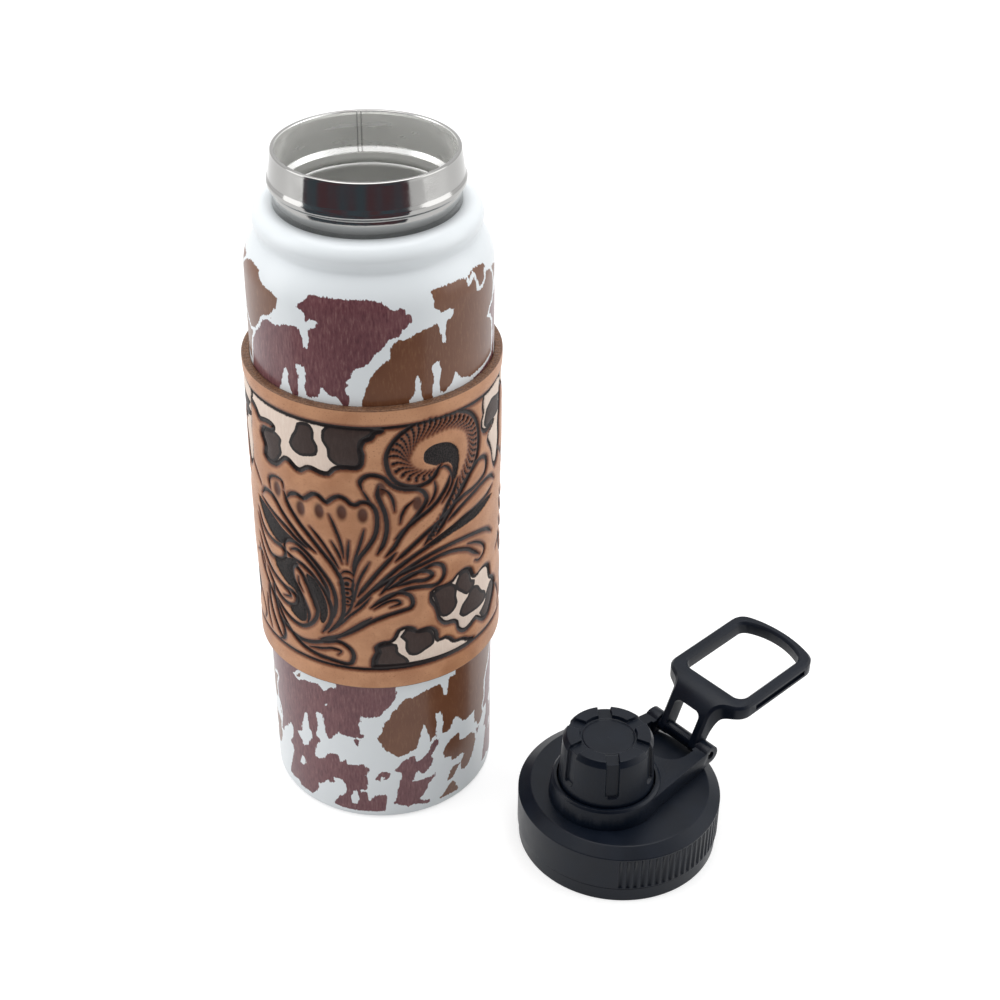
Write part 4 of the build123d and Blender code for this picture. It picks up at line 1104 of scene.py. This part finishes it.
# %% [markdown]
# ## Ground, inlays, hollows and beads
# The areas become signed distances like the print. Hollows are soft thumb marks in the leaves. Beads are
# rings with a dot, stamped down the stem. A plain strip at the back carries the seam, and two straight cuts
# border the drawing above and below.

# %% Carving fields
CARVING_END_MM = 116.0
HOLLOW_WIDTH_MM, HOLLOW_HEIGHT_MM = 1.7, 2.9
BEAD_RING_MM, BEAD_DOT = 0.35, 0.45
INLAY_LINE_MM = 1.5
BORDERS_MM, BORDER_HALF_MM = (65.9, 153.8), 0.5


def flat_field(outlines):
    """Signed distance to the nearest of the outlines, on every repeat."""
    rings = [smooth_path(outline + outline[:1], 1.0) for outline in outlines]
    turned = [nearest_shape(u_grid - turn_mm, z_grid, rings, REACH_MM) for turn_mm in CARVING_TURNS_MM]
    return np.max(turned, axis=0)


ground, inlay, spot = flat_field(MATTED), flat_field(INLAYS), flat_field(INLAY_SPOTS)
hollow = np.zeros(u_grid.shape)
for turn_mm in CARVING_TURNS_MM:
    for x, y in HOLLOWS:
        wide, high = (u_grid - turn_mm - x) / HOLLOW_WIDTH_MM, (z_grid - y) / HOLLOW_HEIGHT_MM
        hollow = np.maximum(hollow, np.exp(-(wide**2 + high**2)))
    for x, y, radius in BEADS:
        away = np.hypot(u_grid - turn_mm - x, z_grid - y)
        cut = np.maximum(cut, BEAD_RING_MM - np.abs(away - radius - 0.2))
        cut = np.maximum(cut, BEAD_DOT * radius - away)
uncarved = np.abs(u_grid) > CARVING_END_MM
for field in (cut, ground, inlay, spot):
    field[uncarved] = -REACH_MM
hollow[uncarved] = 0.0
cut[inlay > -0.3] = -REACH_MM
for height in BORDERS_MM:
    cut = np.maximum(cut, BORDER_HALF_MM - np.abs(z_grid - height))
cut = np.maximum(cut, INLAY_LINE_MM / 2 - np.abs(inlay))
print("share of the sleeve that is inlaid:", round(float((inlay > 0).mean()), 3))

# %% [markdown]
# ## Carved sleeve: the mesh
# The grid is bent round the bottle and closed over both edges and the inner face. The edges of a worn
# sleeve aren't dead straight, so they wander a little. The distances go along as fields and colour the
# leather later.

# %% Sleeve mesh
CUT_DEPTH_MM, BEVEL_DEPTH_MM, BEVEL_MM = 0.5, 0.32, 1.3
GROUND_DEPTH_MM, HOLLOW_DEPTH_MM, INLAY_DEPTH_MM = 0.45, 0.5, 0.28
DEEPEST_MM = 1.2
WEAR_MM = 0.06


def sleeve_depth():
    """How far each point of the outer face lies under the uncut leather, in mm."""
    depth = -CUT_DEPTH_MM * smoothstep(-0.15, 0.45, cut)
    depth -= BEVEL_DEPTH_MM * np.exp(np.minimum(cut, 0) / BEVEL_MM)
    depth -= GROUND_DEPTH_MM * smoothstep(-0.3, 0.4, ground)
    depth -= HOLLOW_DEPTH_MM * hollow
    depth -= INLAY_DEPTH_MM * smoothstep(-0.2, 0.3, inlay)
    return np.maximum(depth, -DEEPEST_MM)


def sleeve_mesh():
    """Closed band: carved outer face, worn edges, inner face, and pinched ends at the seam."""
    count = len(u_line)
    angle = np.linspace(0, math.pi / 2, 5)[1:]
    wear = WEAR_MM * (np.sin(u_line * 0.9) + np.sin(u_line * 2.3 + 1.0) + np.sin(u_line * 5.1 + 2.0))
    arc_r = SLEEVE_MM - EDGE_MM + EDGE_MM * np.cos(angle)
    edge_r = np.concatenate([arc_r, (38.0, 37.2, SLEEVE_INNER_MM + 0.1)])
    edge_z = np.concatenate([EDGE_MM * np.sin(angle), (EDGE_MM, EDGE_MM, EDGE_MM - 0.05)])
    worn = np.abs(wear)[:, None] * np.linspace(0.2, 1.0, len(edge_z))
    column = np.ones((count, 1))
    top_r = column * edge_r
    top_z = column * (high_mm - EDGE_MM + edge_z) - worn
    low_z = column * (low_mm + EDGE_MM - edge_z) + worn
    inner_r = column * np.full(2, SLEEVE_INNER_MM)
    inner_z = column * np.array((high_mm - EDGE_MM, low_mm + EDGE_MM))
    r = np.hstack([SLEEVE_MM + sleeve_depth(), top_r, inner_r, top_r[:, ::-1]])
    z = np.hstack([z_grid, top_z, inner_z, low_z[:, ::-1]])
    t = (u_line / SLEEVE_MM - math.pi / 2)[:, None] * np.ones(r.shape[1])
    extra = r.shape[1] - z_grid.shape[1]

    def pinched(values):
        return np.vstack([values[:1], values, values[-1:]])

    def padded(values, rest):
        return pinched(np.hstack([values, np.full((count, extra), rest)]))

    middle = np.full((1, r.shape[1]), (SLEEVE_MM + SLEEVE_INNER_MM) / 2)
    r, z, t = np.vstack([middle, r, middle]), pinched(z), pinched(t)
    far = {"cut": cut, "ground": ground, "inlay": inlay, "spot": spot}
    fields = {name: padded(values, -REACH_MM) for name, values in far.items()}
    fields["hollow"] = padded(hollow, 0.0)
    fields["edge"] = padded(np.zeros(z_grid.shape), 1.0)
    points = np.stack([r * np.cos(t), r * np.sin(t), z], -1)
    return grid_object("carved_sleeve", points * MM, close_u=False, close_v=True, fields=fields)


sleeve = sleeve_mesh()
print("sleeve points:", len(sleeve.data.vertices))

# %% [markdown]
# ## Leather
# Veg-tanned leather is tan where it is left alone, brown where it is bevelled and nearly black in the cuts,
# where the antique paste stays. The brown towards each cut is partly burnish and partly painted shade, and
# the darker stamped hollows are partly the pressed leather's tone and partly painted shade. The inlays are
# hair-on hide, in cream with dark spots. Each colour is laid over the last one by a mask from the fields, so
# that a cut stays dark wherever it runs.

# %% Leather material
TAN, TAN_LIGHT, PORE = srgb(178, 125, 90), srgb(202, 149, 112), srgb(154, 102, 72)
# The brown towards the cuts and the hollow colour are each partly the leather's own tone and partly painted
# shade.
BURNISH_AND_SHADE, HOLLOW_TONE_AND_SHADE = srgb(112, 62, 38), srgb(82, 42, 24)
PASTE, PASTE_LIGHT, IN_CUT = srgb(17, 13, 14), srgb(47, 40, 39), srgb(30, 20, 20)
CREAM, CREAM_LIGHT = srgb(232, 212, 197), srgb(239, 221, 207)
SPOT, SPOT_LIGHT, SPOT_RIM = srgb(58, 43, 39), srgb(66, 50, 45), srgb(30, 22, 22)
RAW_EDGE, RAW_EDGE_LIGHT = srgb(98, 68, 50), srgb(130, 94, 69)
SPOT_LINE_MM = 1.0
# A hand-cut line strays by half of this to each side.
HAND_MM, SPOT_HAND_MM = 0.4, 0.25


def leather_material():
    """Tan leather, darker towards its cuts as burnish and painted shade, with matted ground and hide inlays.
    """
    s = Finish("tooled_leather")
    place = s.place()
    uneven = s.noise(place, 1400.0, 2.0, 0.6)
    by_hand = s.around_zero(uneven, HAND_MM)
    line = s.math("ADD", s.field("cut"), by_hand)
    cloud = s.step(s.noise(place, 90.0, 3.0, 0.55), 0.3, 0.7)
    pores = s.noise(place, 2600.0, 2.0, 0.6)
    speckle = s.step(s.noise(place, 2500.0, 1.0), 0.42, 0.6)
    tan = s.mix(s.step(pores, 0.58, 0.74), s.mix(cloud, TAN, TAN_LIGHT), PORE)
    # Painted shade, with some real burnish, darkens the leather towards each cut.
    burnish_and_shade = s.mix(s.step(line, -1.25, -0.05), tan, BURNISH_AND_SHADE)
    # The stamped hollows are darkened, partly as pressed leather and partly as painted shade in the dent.
    burnish_and_shade = s.mix(s.step(s.field("hollow"), 0.12, 0.7), burnish_and_shade, HOLLOW_TONE_AND_SHADE)
    ground_mask = s.step(s.math("ADD", s.field("ground"), by_hand), -0.2, 0.2)
    colour = s.mix(ground_mask, burnish_and_shade, s.mix(speckle, PASTE, PASTE_LIGHT))
    streak = s.step(s.group(hair_streaks, Vector=place).outputs["Value"], 0.4, 0.75)
    spot_line = s.math("ADD", s.field("spot"), s.around_zero(uneven, SPOT_HAND_MM))
    spots = s.mix(streak, SPOT, SPOT_LIGHT)
    hide = s.mix(s.step(spot_line, -0.1, 0.1), s.mix(streak, CREAM, CREAM_LIGHT), spots)
    rim = s.math("SUBTRACT", SPOT_LINE_MM / 2, s.math("ABSOLUTE", spot_line))
    hide = s.mix(s.step(rim, -0.1, 0.1), hide, SPOT_RIM)
    inlay_mask = s.step(s.field("inlay"), -0.1, 0.1)
    colour = s.mix(inlay_mask, colour, hide)
    colour = s.mix(s.step(line, -0.12, 0.15), colour, IN_CUT)
    colour = s.mix(s.field("edge"), colour, s.mix(speckle, RAW_EDGE, RAW_EDGE_LIGHT))
    rough = s.math("ADD", s.step(pores, 0.3, 0.7, 0.34, 0.5), s.math("MULTIPLY", ground_mask, 0.3))
    relief = s.math("ADD", s.math("MULTIPLY", pores, 0.6), s.math("MULTIPLY", speckle, ground_mask))
    return s.set(
        Base_Color=colour,
        Roughness=s.math("ADD", rough, s.math("MULTIPLY", inlay_mask, 0.15)),
        Normal=s.bump(relief, 0.5, 0.00012),
        Specular_IOR_Level=0.3,
        Sheen_Weight=0.03,
        Sheen_Roughness=0.5,
    )


def lace_material():
    """Dark waxed thread with its fibres showing."""
    s = Finish("waxed_lace")
    fibres = s.noise(s.stretched(s.place(), (0.3, 1.0, 1.0)), 3500.0, 2.0, 0.6)
    colour = s.mix(s.step(fibres, 0.35, 0.65), srgb(44, 28, 22), srgb(84, 56, 42))
    return s.set(Base_Color=colour, Roughness=0.55, Normal=s.bump(fibres, 0.6, 0.0001))


dress(sleeve, leather_material(), "bottle", "tooled_leather", "leather_sleeve")
finish_node("sleeve_lacing", lace_material())
print("leather nodes:", len(sleeve.data.materials[0].node_tree.nodes))

# %% [markdown]
# ## Moulded plastic
# The lid is moulded in black plastic with a fine spark-eroded grain. An image of grain would show its
# seams, so the grain is noise. It is one node group, placed in each plastic and in the silicone with its
# own scale.

# %% Plastic and silicone
CLOUD_SCALE = 120.0
GLOSS_SPREAD = 0.08


def grain_group():
    """Shared moulded grain: a fine height and a broad cloud, both 0 to 1."""
    inputs = {"Vector": "NodeSocketVector", "Scale": "NodeSocketFloat"}
    n, start, end = new_group("moulded_grain", inputs, ["Height", "Cloud"])
    vector, scale = start.outputs["Vector"], start.outputs["Scale"]
    n.feed(end, Height=n.noise(vector, scale, 2.0, 0.6), Cloud=n.noise(vector, CLOUD_SCALE, 3.0))
    return n.tree


moulded_grain = grain_group()


def moulded_material(name, dark, light, scale, rough, depth):
    """A moulded finish: two close colours, a grained surface and uneven gloss."""
    s = Finish(name)
    grain = s.group(moulded_grain, Vector=s.place(), Scale=scale)
    cloud = grain.outputs["Cloud"]
    return s.set(
        Base_Color=s.mix(s.step(cloud, 0.3, 0.7), srgb(*dark), srgb(*light)),
        Roughness=s.step(cloud, 0.25, 0.75, rough, rough + GLOSS_SPREAD),
        Normal=s.bump(grain.outputs["Height"], 0.45, depth),
        Specular_IOR_Level=0.2,
    )


black_plastic = moulded_material("black_plastic", (7, 14, 25), (10, 18, 30), 4200.0, 0.32, 0.00004)
liner_plastic = moulded_material("liner_plastic", (30, 33, 36), (36, 39, 42), 3000.0, 0.30, 0.00002)
silicone = moulded_material("silicone", (150, 154, 156), (164, 168, 170), 2200.0, 0.50, 0.00003)
print("materials so far:", len(bpy.data.materials))

# %% [markdown]
# ## The lid
# The shell is a turned moulding with ribs in two sectors, where the fingers grip. Ribs could be cut with
# booleans, but a turned grid with enough columns takes them as a change of radius. The hole for the spout
# is off centre, so the rings of the grid slide over towards it on the flat top.

# %% Lid shell
LID_HOLE_MM, LID_TOP_MM, LID_CEILING_MM = 10.5, 20.74, 18.64
TOP_RINGS_MM = (27.0, 22.0, 17.0, 12.0)
RIB_COUNT = 22
RIB_STEP = math.radians(90.0 / RIB_COUNT)
RIB_CENTRE_MM, RIB_MM, GRIP_MM, RIB_DEPTH_MM = 33.15, 0.8, 32.9, 0.55


def eccentric_place(points):
    """Slides the rings towards the spout's axis as they get smaller, then places the lid."""
    radius = np.hypot(points[..., 0], points[..., 1])
    slide = SPOUT_OFFSET_MM * (1.0 - smoothstep(12.0, 27.0, radius))
    return lid_place(points - np.stack([slide, 0 * slide, 0 * slide], -1))


def grip_ribs(r, z, t):
    """Cuts upright grooves into the grip, in the sectors about +90 and -90 degrees."""
    a = (t + math.pi) % (2 * math.pi) - math.pi
    start = np.where(a > 0, math.radians(45.0), math.radians(-135.0))
    phase = (a - start) / RIB_STEP
    inside = (phase > 0) & (phase < RIB_COUNT)
    side_mm = (phase % 1.0 - 0.5) * RIB_STEP * GRIP_MM
    bottom = RIB_CENTRE_MM - np.sqrt(np.maximum(RIB_MM**2 - side_mm**2, 0.0))
    window = smoothstep(6.2, 6.6, z) * (1.0 - smoothstep(17.55, 17.95, z))
    lower = np.where(inside & (r > 32.5), np.maximum(r - bottom, 0.0) * window, 0.0)
    return r - np.minimum(lower, RIB_DEPTH_MM), z


def disc_with_hole(top_mm, under_mm):
    """Profile points across a disc's top to the spout's hole, and back out on its underside."""
    rings = TOP_RINGS_MM + (LID_HOLE_MM,)
    return [(r, top_mm, 0) for r in rings] + [(r, under_mm, 0) for r in reversed(rings)]


lid_side = [
    (30.8, 0.6, 0), (31.0, 0.0, 0.1), (32.4, 0.0, 0.5), (32.4, 5.3, 0.25), (31.5, 5.3, 0.12),
    (31.5, 5.8, 0.12), (GRIP_MM, 5.8, 0.3), (GRIP_MM, 6.2, 0), (GRIP_MM, 6.4, 0), (GRIP_MM, 6.6, 0),
    (GRIP_MM, 17.5, 0), (GRIP_MM, 17.75, 0), (GRIP_MM, 17.95, 0), (GRIP_MM, 18.35, 0.35),
    (29.0, LID_TOP_MM, 1.0),
]
lid_inside = [(30.8, LID_CEILING_MM, 0.3), (30.8, 10.0, 0)]
lid_profile = rounded(lid_side + disc_with_hole(LID_TOP_MM, LID_CEILING_MM) + lid_inside)
lid_shell = lathe("lid_shell_moulding", lid_profile, 1320, place=eccentric_place, shape=grip_ribs)
dress(lid_shell, black_plastic, "lid", "black_plastic", "lid_shell")
print("lid shell points:", len(lid_shell.data.vertices))

# %% [markdown]
# ## The liner and its gasket
# Such a lid has a smooth liner inside. It carries the thread for the neck, a ridge that winds up its wall.
# The ridge is a change of radius too, on rows close enough to round it. A silicone ring seals on the rim.

# %% Liner and gasket
LINER_TOP_MM, LINER_CEILING_MM, LINER_MM = 18.6, 16.84, 29.0
LINER_THREAD_MM, LINER_PITCH_MM = 0.45, 4.0


def thread(z, t, start, end, pitch):
    """Height, 0 to 1, of a thread ridge that winds up from start to end."""
    phase = ((z - start) / pitch - t / (2 * math.pi)) % 1.0
    ridge = smoothstep(0.18, 0.36, phase) * (1.0 - smoothstep(0.64, 0.82, phase))
    return ridge * smoothstep(start, start + pitch / 2, z) * (1.0 - smoothstep(end - pitch / 2, end, z))


def liner_thread(r, z, t):
    """Raises the thread from the liner's inside wall."""
    on_wall = (r < LINER_MM + 0.1) & (r > LINER_MM - 0.1)
    return np.where(on_wall, r - LINER_THREAD_MM * thread(z, t, 2.5, 13.5, LINER_PITCH_MM), r), z


liner_side = [(29.3, 0.8, 0), (30.7, 0.8, 0.3), (30.7, LINER_TOP_MM, 0.3)]
liner_wall = [(LINER_MM, LINER_CEILING_MM, 0.8)] + [(LINER_MM, z, 0) for z in np.arange(14.0, 1.8, -0.25)]
liner_profile = rounded(liner_side + disc_with_hole(LINER_TOP_MM, LINER_CEILING_MM) + liner_wall, 4)
lid_liner = lathe("threaded_liner", liner_profile, 360, place=eccentric_place, shape=liner_thread)
dress(lid_liner, liner_plastic, "lid", "liner_plastic", "lid_liner")
gasket_ring = rounded(
    [
        (25.3, 15.34, 0), (28.2, 15.34, 0.4), (28.2, LINER_CEILING_MM, 0.1), (25.0, LINER_CEILING_MM, 0.1),
        (25.0, 15.6, 0),
    ],
    4,
)
gasket = lathe("gasket_ring", gasket_ring, 200, place=lid_place)
dress(gasket, silicone, "lid", "silicone", "lid_gasket")
print("liner points:", len(lid_liner.data.vertices))

# %% [markdown]
# ## The spout and its nut
# The spout is a tube with a flange, clamped through the lid by a ring nut, with a soft washer between nut
# and liner. Its thread for the knob shows when the knob is off. It uses the same ridge as the liner, on the
# outside.

# %% Spout
SPOUT_MM, SPOUT_THREAD_MM, SPOUT_PITCH_MM = 10.4, 0.38, 3.0
NUT_MM, NUT_NOTCHES, NUT_NOTCH_MM = 12.5, 8, 0.7


def spout_thread(r, z, t):
    """Raises the thread from the spout's outside wall."""
    on_wall = (r > SPOUT_MM - 0.1) & (r < SPOUT_MM + 0.1)
    return np.where(on_wall, r + SPOUT_THREAD_MM * thread(z, t, 27.5, 37.5, SPOUT_PITCH_MM), r), z


def nut_flats(r, z, t):
    """Eight shallow finger notches round the nut."""
    notch = np.exp(-(((t * NUT_NOTCHES / (2 * math.pi)) % 1.0 - 0.5) / 0.16) ** 2)
    return np.where(r > NUT_MM, r - NUT_NOTCH_MM * notch, r), z


spout_foot = [
    (8.3, 12.14, 0), (SPOUT_MM, 12.14, 0.3), (SPOUT_MM, 22.6, 0.1), (14.6, 22.6, 0.3), (14.6, 24.2, 0.4),
    (SPOUT_MM, 24.2, 0.2),
]
spout_wall = [(SPOUT_MM, z, 0) for z in np.arange(24.6, 38.6, 0.2)]
spout_bore = [(SPOUT_MM, 40.0, 0.7), (8.0, 40.0, 0.7), (8.0, 30.0, 0), (8.0, 12.4, 0)]
spout_profile = rounded(spout_foot + spout_wall + spout_bore, 4)
spout = lathe("threaded_spout", spout_profile, 240, place=spout_place, shape=spout_thread)
dress(spout, liner_plastic, "lid", "liner_plastic", "spout")
washer_ring = rounded(
    [(10.7, 15.34, 0), (13.5, 15.34, 0.3), (13.5, 16.84, 0.1), (10.45, 16.84, 0.1), (10.45, 15.6, 0)], 3
)
washer = lathe("soft_washer", washer_ring, 120, place=spout_place)
dress(washer, silicone, "lid", "silicone", "spout_washer")
nut_ring = rounded(
    [(10.8, 12.34, 0), (13.5, 12.34, 0.4), (13.5, 15.34, 0.2), (10.45, 15.34, 0.1), (10.45, 12.7, 0)], 4
)
nut = lathe("ring_nut", nut_ring, 240, place=spout_place, shape=nut_flats)
dress(nut, liner_plastic, "lid", "liner_plastic", "spout_nut")
finish_node("knob_liner", liner_plastic)
finish_node("knob_gasket", silicone)
print("spout points:", len(spout.data.vertices))

# %% [markdown]
# ## The knob
# The knob has six finger notches and a dished crown. Booleans would leave long thin faces on its curved
# side, so two profiles share one grid: the full knob, and the knob at the bottom of a notch. Each column of
# the grid takes the one or the other by its distance from the nearest notch. The notch walls stay upright
# and the same width.

# %% Knob profiles
NOTCH_HALF_MM, NOTCH_COUNT, NOTCH_EDGE_MM = 2.1, 6, 0.12
NOTCH_PHASE = math.radians(52.0)
NOTCH_LOW_MM, NOTCH_CORNER_MM = 31.4, 1.4
SKIRT_MM, KNOB_FOOT_MM, CROWN_MM, DISH_MM = 15.4, 26.8, 45.2, 44.0
KNOB_STEP_MM = 0.35
knob_foot = [(12.7, 27.2, 0), (12.9, KNOB_FOOT_MM, 0.2), (SKIRT_MM, KNOB_FOOT_MM, 0.35)]
knob_side = [(SKIRT_MM - (z - KNOB_FOOT_MM) / 16.4, z, 0) for z in np.arange(27.4, 42.6, 0.2)]
knob_crown = [
    (14.4, 43.2, 0.35), (13.3, CROWN_MM, 0.45), (9.2, CROWN_MM, 0.25), (8.9, DISH_MM, 0.1),
    (8.55, DISH_MM, 0), (8.45, 43.8, 0), (8.25, 43.8, 0), (8.15, DISH_MM, 0), (6.0, DISH_MM, 0),
    (3.0, DISH_MM, 0), (AXIS_MM, DISH_MM, 0),
]
knob_outside = refine(rounded(knob_foot + knob_side + knob_crown, 6), KNOB_STEP_MM)
knob_inside = [(AXIS_MM, 42.4), (6.0, 42.4), (12.6, 42.4), (12.65, 42.3), (12.65, 35.0), (12.65, 27.4)]
knob_profile = np.vstack([knob_outside, knob_inside])
outside_count = len(knob_outside)


def notch_bottom():
    """The second profile: set back on the side, and level with the dish across the crown."""
    low = knob_profile.copy()
    r, z = knob_outside[:, 0], knob_outside[:, 1]
    top = int(np.argmax(z > DISH_MM))
    dish = int(np.argmax((r < 8.95) & (z < DISH_MM + 0.05) & (np.arange(outside_count) > top)))
    set_back = (np.arange(outside_count) < top) & (z > NOTCH_LOW_MM - 0.5)
    back = 14.4 - (z - KNOB_FOOT_MM) / 17.2
    low[:outside_count, 0] = np.where(set_back, np.minimum(r, back), r)
    share = np.linspace(0, 1, dish - top + 1)
    low[top:dish + 1, 0] = 13.4 + (8.9 - 13.4) * share
    low[top:dish + 1, 1] = DISH_MM
    return low


knob_low = notch_bottom()
print("knob height:", round(CROWN_MM - KNOB_FOOT_MM, 1), "mm")

# %% [markdown]
# ## The knob's notches
# With both profiles ready, turning the knob is one call. The foot of each notch is a quarter circle, as the
# mould has it.


# %% Knob
def notches(r, z, t):
    """Moves each point to the low profile where it lies in a notch."""
    spacing = 2 * math.pi / NOTCH_COUNT
    off = (t - NOTCH_PHASE + spacing / 2) % spacing - spacing / 2
    side_mm = np.abs(r * np.sin(off))
    corner = NOTCH_CORNER_MM - np.clip(z - NOTCH_LOW_MM, 0, NOTCH_CORNER_MM)
    half = NOTCH_HALF_MM - NOTCH_CORNER_MM + np.sqrt(np.maximum(NOTCH_CORNER_MM**2 - corner**2, 0))
    half = np.where(z < NOTCH_LOW_MM, -1.0, half)
    share = 1.0 - smoothstep(half - NOTCH_EDGE_MM, half + NOTCH_EDGE_MM, side_mm)
    share[:, outside_count:] = 0.0
    return r + (knob_low[:, 0] - r) * share, z + (knob_low[:, 1] - z) * share


knob = lathe("notched_knob", knob_profile, 1440, place=spout_place, shape=notches)
dress(knob, black_plastic, "cap", "black_plastic", "knob")
print("knob points:", len(knob.data.vertices))

# %% [markdown]
# ## Carrier and carry loop
# Their shapes are already right in the frame, so drawing them again would only add errors. A copy of each
# mesh gets its flat faces joined and its edges rounded with a bevel, as a mould would leave them.

# %% Carrier and loop
CARRIER_ROUND, LOOP_ROUND = 0.0004, 0.0005
SAME_POINT = 1e-6
SAME_FACE, SHARP_EDGE = math.radians(1.0), math.radians(28.0)


def softened(node, name, width, body):
    """A copy of a CAD node with rounded edges, which replaces the node."""
    obj = in_scene(name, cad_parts[node].data.copy())
    bm = bmesh.new()
    bm.from_mesh(obj.data)
    bmesh.ops.remove_doubles(bm, verts=bm.verts, dist=SAME_POINT)
    bmesh.ops.dissolve_limit(bm, angle_limit=SAME_FACE, verts=bm.verts, edges=bm.edges)
    for face in bm.faces:
        face.smooth = True
    bm.to_mesh(obj.data)
    bm.free()
    bevel = obj.modifiers.new("soft_edges", "BEVEL")
    bevel.width = width
    bevel.segments = 3
    bevel.limit_method = "ANGLE"
    bevel.angle_limit = SHARP_EDGE
    bevel.harden_normals = True
    return dress(obj, black_plastic, body, "black_plastic", node)


carrier = softened("loop_carrier", "soft_carrier", CARRIER_ROUND, "lid")
loop = softened("carry_loop", "soft_loop", LOOP_ROUND, "loop")
print("faces before the bevel:", len(carrier.data.polygons), "and", len(loop.data.polygons))

# %% [markdown]
# ## The floor
# A product photo stands on white paper. Enough light to make the paper white would bleach the object too.
# So the floor is pale, and Light Path lifts it to white only for the camera, for reflections and through
# glass. It keeps the object's shadow, and the lift adds no light to diffuse surfaces.

# %% Floor
FLOOR_HALF = 3.0
FLOOR_TONE, FLOOR_GLOW = (0.55, 0.55, 0.55, 1.0), 0.62


def floor_material():
    """Pale floor, lifted to white for the rays that see the background."""
    s = Finish("floor")
    return s.set(
        Base_Color=FLOOR_TONE,
        Roughness=0.9,
        Specular_IOR_Level=0.0,
        Emission_Color=WHITE,
        Emission_Strength=s.math("MULTIPLY", s.background_rays(), FLOOR_GLOW),
    )


floor_sides = (-FLOOR_HALF, FLOOR_HALF)
floor_points = np.array([[(x, y, 0.0) for y in floor_sides] for x in floor_sides])
floor = grid_object("floor", floor_points, close_u=False)
give_material(floor, floor_material())
floor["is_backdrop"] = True
print("floor:", 2 * FLOOR_HALF, "m wide")

# %% [markdown]
# ## A dark card for the steel
# Polished steel has no colour of its own, and in an all-white studio it looks like paper. A photographer
# stands a dark card on the camera's side, so that the front of the neck mirrors it as a dark band between
# two bright ones. The card takes part in reflections alone, so it throws no shadow and shows in no view.

# %% Dark card
CARD_RADIUS, CARD_LOW, CARD_HIGH = 0.30, 0.001, 0.50
CARD_START, CARD_END = math.radians(-165.0), math.radians(-44.0)
SLATE, WARM_SLATE = srgb(84, 96, 104), srgb(104, 77, 82)


def card_material():
    """Matt slate cloth with a few warmer, browner patches."""
    s = Finish("dark_card")
    patch = s.step(s.noise(s.place(), 9.0), 0.42, 0.62)
    return s.set(Base_Color=s.mix(patch, SLATE, WARM_SLATE), Roughness=0.9, Specular_IOR_Level=0.0)


card_columns = np.linspace(CARD_START, CARD_END, 61)
card_angle, card_height = np.meshgrid(card_columns, (CARD_LOW, CARD_HIGH), indexing="ij")
card_x, card_y = CARD_RADIUS * np.cos(card_angle), CARD_RADIUS * np.sin(card_angle)
card = grid_object("dark_card", np.stack([card_x, card_y, card_height], -1), close_u=False)
give_material(card, card_material())
for ray in ("camera", "diffuse", "transmission", "shadow", "volume_scatter"):
    setattr(card, "visible_" + ray, False)
card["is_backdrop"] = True
print("card spans:", round(math.degrees(CARD_END - CARD_START)), "degrees")

# %% [markdown]
# ## The lamps
# The photo's highlights are soft, as from large softboxes at both sides and overhead. Area lamps do the
# same. They are kept at a plain level, so that each colour renders about as it is written.

# %% Lamps
AIM = (0.03, -0.02, 0.11)
SIDE_WATTS, TOP_WATTS = 3.2, 7.5
SIDE_SIZE, TOP_SIZE = (0.7, 0.9), (1.0, 0.8)


def softbox(name, place, size, power):
    """A large area lamp that looks at the object."""
    data = bpy.data.lights.new(name, "AREA")
    data.shape = "RECTANGLE"
    data.size, data.size_y = size
    data.energy = power
    look = Vector(AIM) - Vector(place)
    turned = look.to_track_quat("-Z", "Y").to_matrix().to_4x4()
    in_scene(name, data).matrix_world = Matrix.Translation(place) @ turned


softbox("left_box", (-0.85, -0.1, 0.45), SIDE_SIZE, SIDE_WATTS)
softbox("right_box", (0.95, -0.1, 0.45), SIDE_SIZE, SIDE_WATTS)
softbox("top_box", (0.0, 0.15, 1.1), TOP_SIZE, TOP_WATTS)
print("lamps:", len(bpy.data.lights), "with", round(sum(lamp.energy for lamp in bpy.data.lights), 1), "watts")

# %% [markdown]
# ## The world
# The same white stands behind everything: full strength for the camera, for reflections and through glass.
# For diffuse light the world gives only a soft fill, as the white walls of a studio do, so shadows stay.

# %% World
SOFT_FILL = 0.56


def build_world():
    """White for the rays that see the background, and a soft fill for everything else."""
    world = bpy.data.worlds.new("studio")
    world.use_nodes = True
    n = Nodes(world.node_tree)
    n.tree.nodes.clear()
    strength = n.add("ShaderNodeMix", None, i0=n.background_rays(), i2=SOFT_FILL, i3=1.0).outputs[0]
    back = n.add("ShaderNodeBackground", None, Color=WHITE, Strength=strength)
    n.add("ShaderNodeOutputWorld", None, Surface=back.outputs[0])
    bpy.context.scene.world = world


build_world()
print("world nodes:", len(bpy.context.scene.world.node_tree.nodes))

# %% [markdown]
# ## Finish
# The frame gave the real size. The finished model has to keep it, so both boxes are written down.

# %% Finish
size_at_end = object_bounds()


def plain(value):
    """The same value as nested lists of numbers."""
    return [plain(item) for item in value] if hasattr(value, "__len__") else float(value)


{"cad": plain(size_at_load), "visual": plain(size_at_end)}
print("size at load:", plain(size_at_load), "at end:", plain(size_at_end))
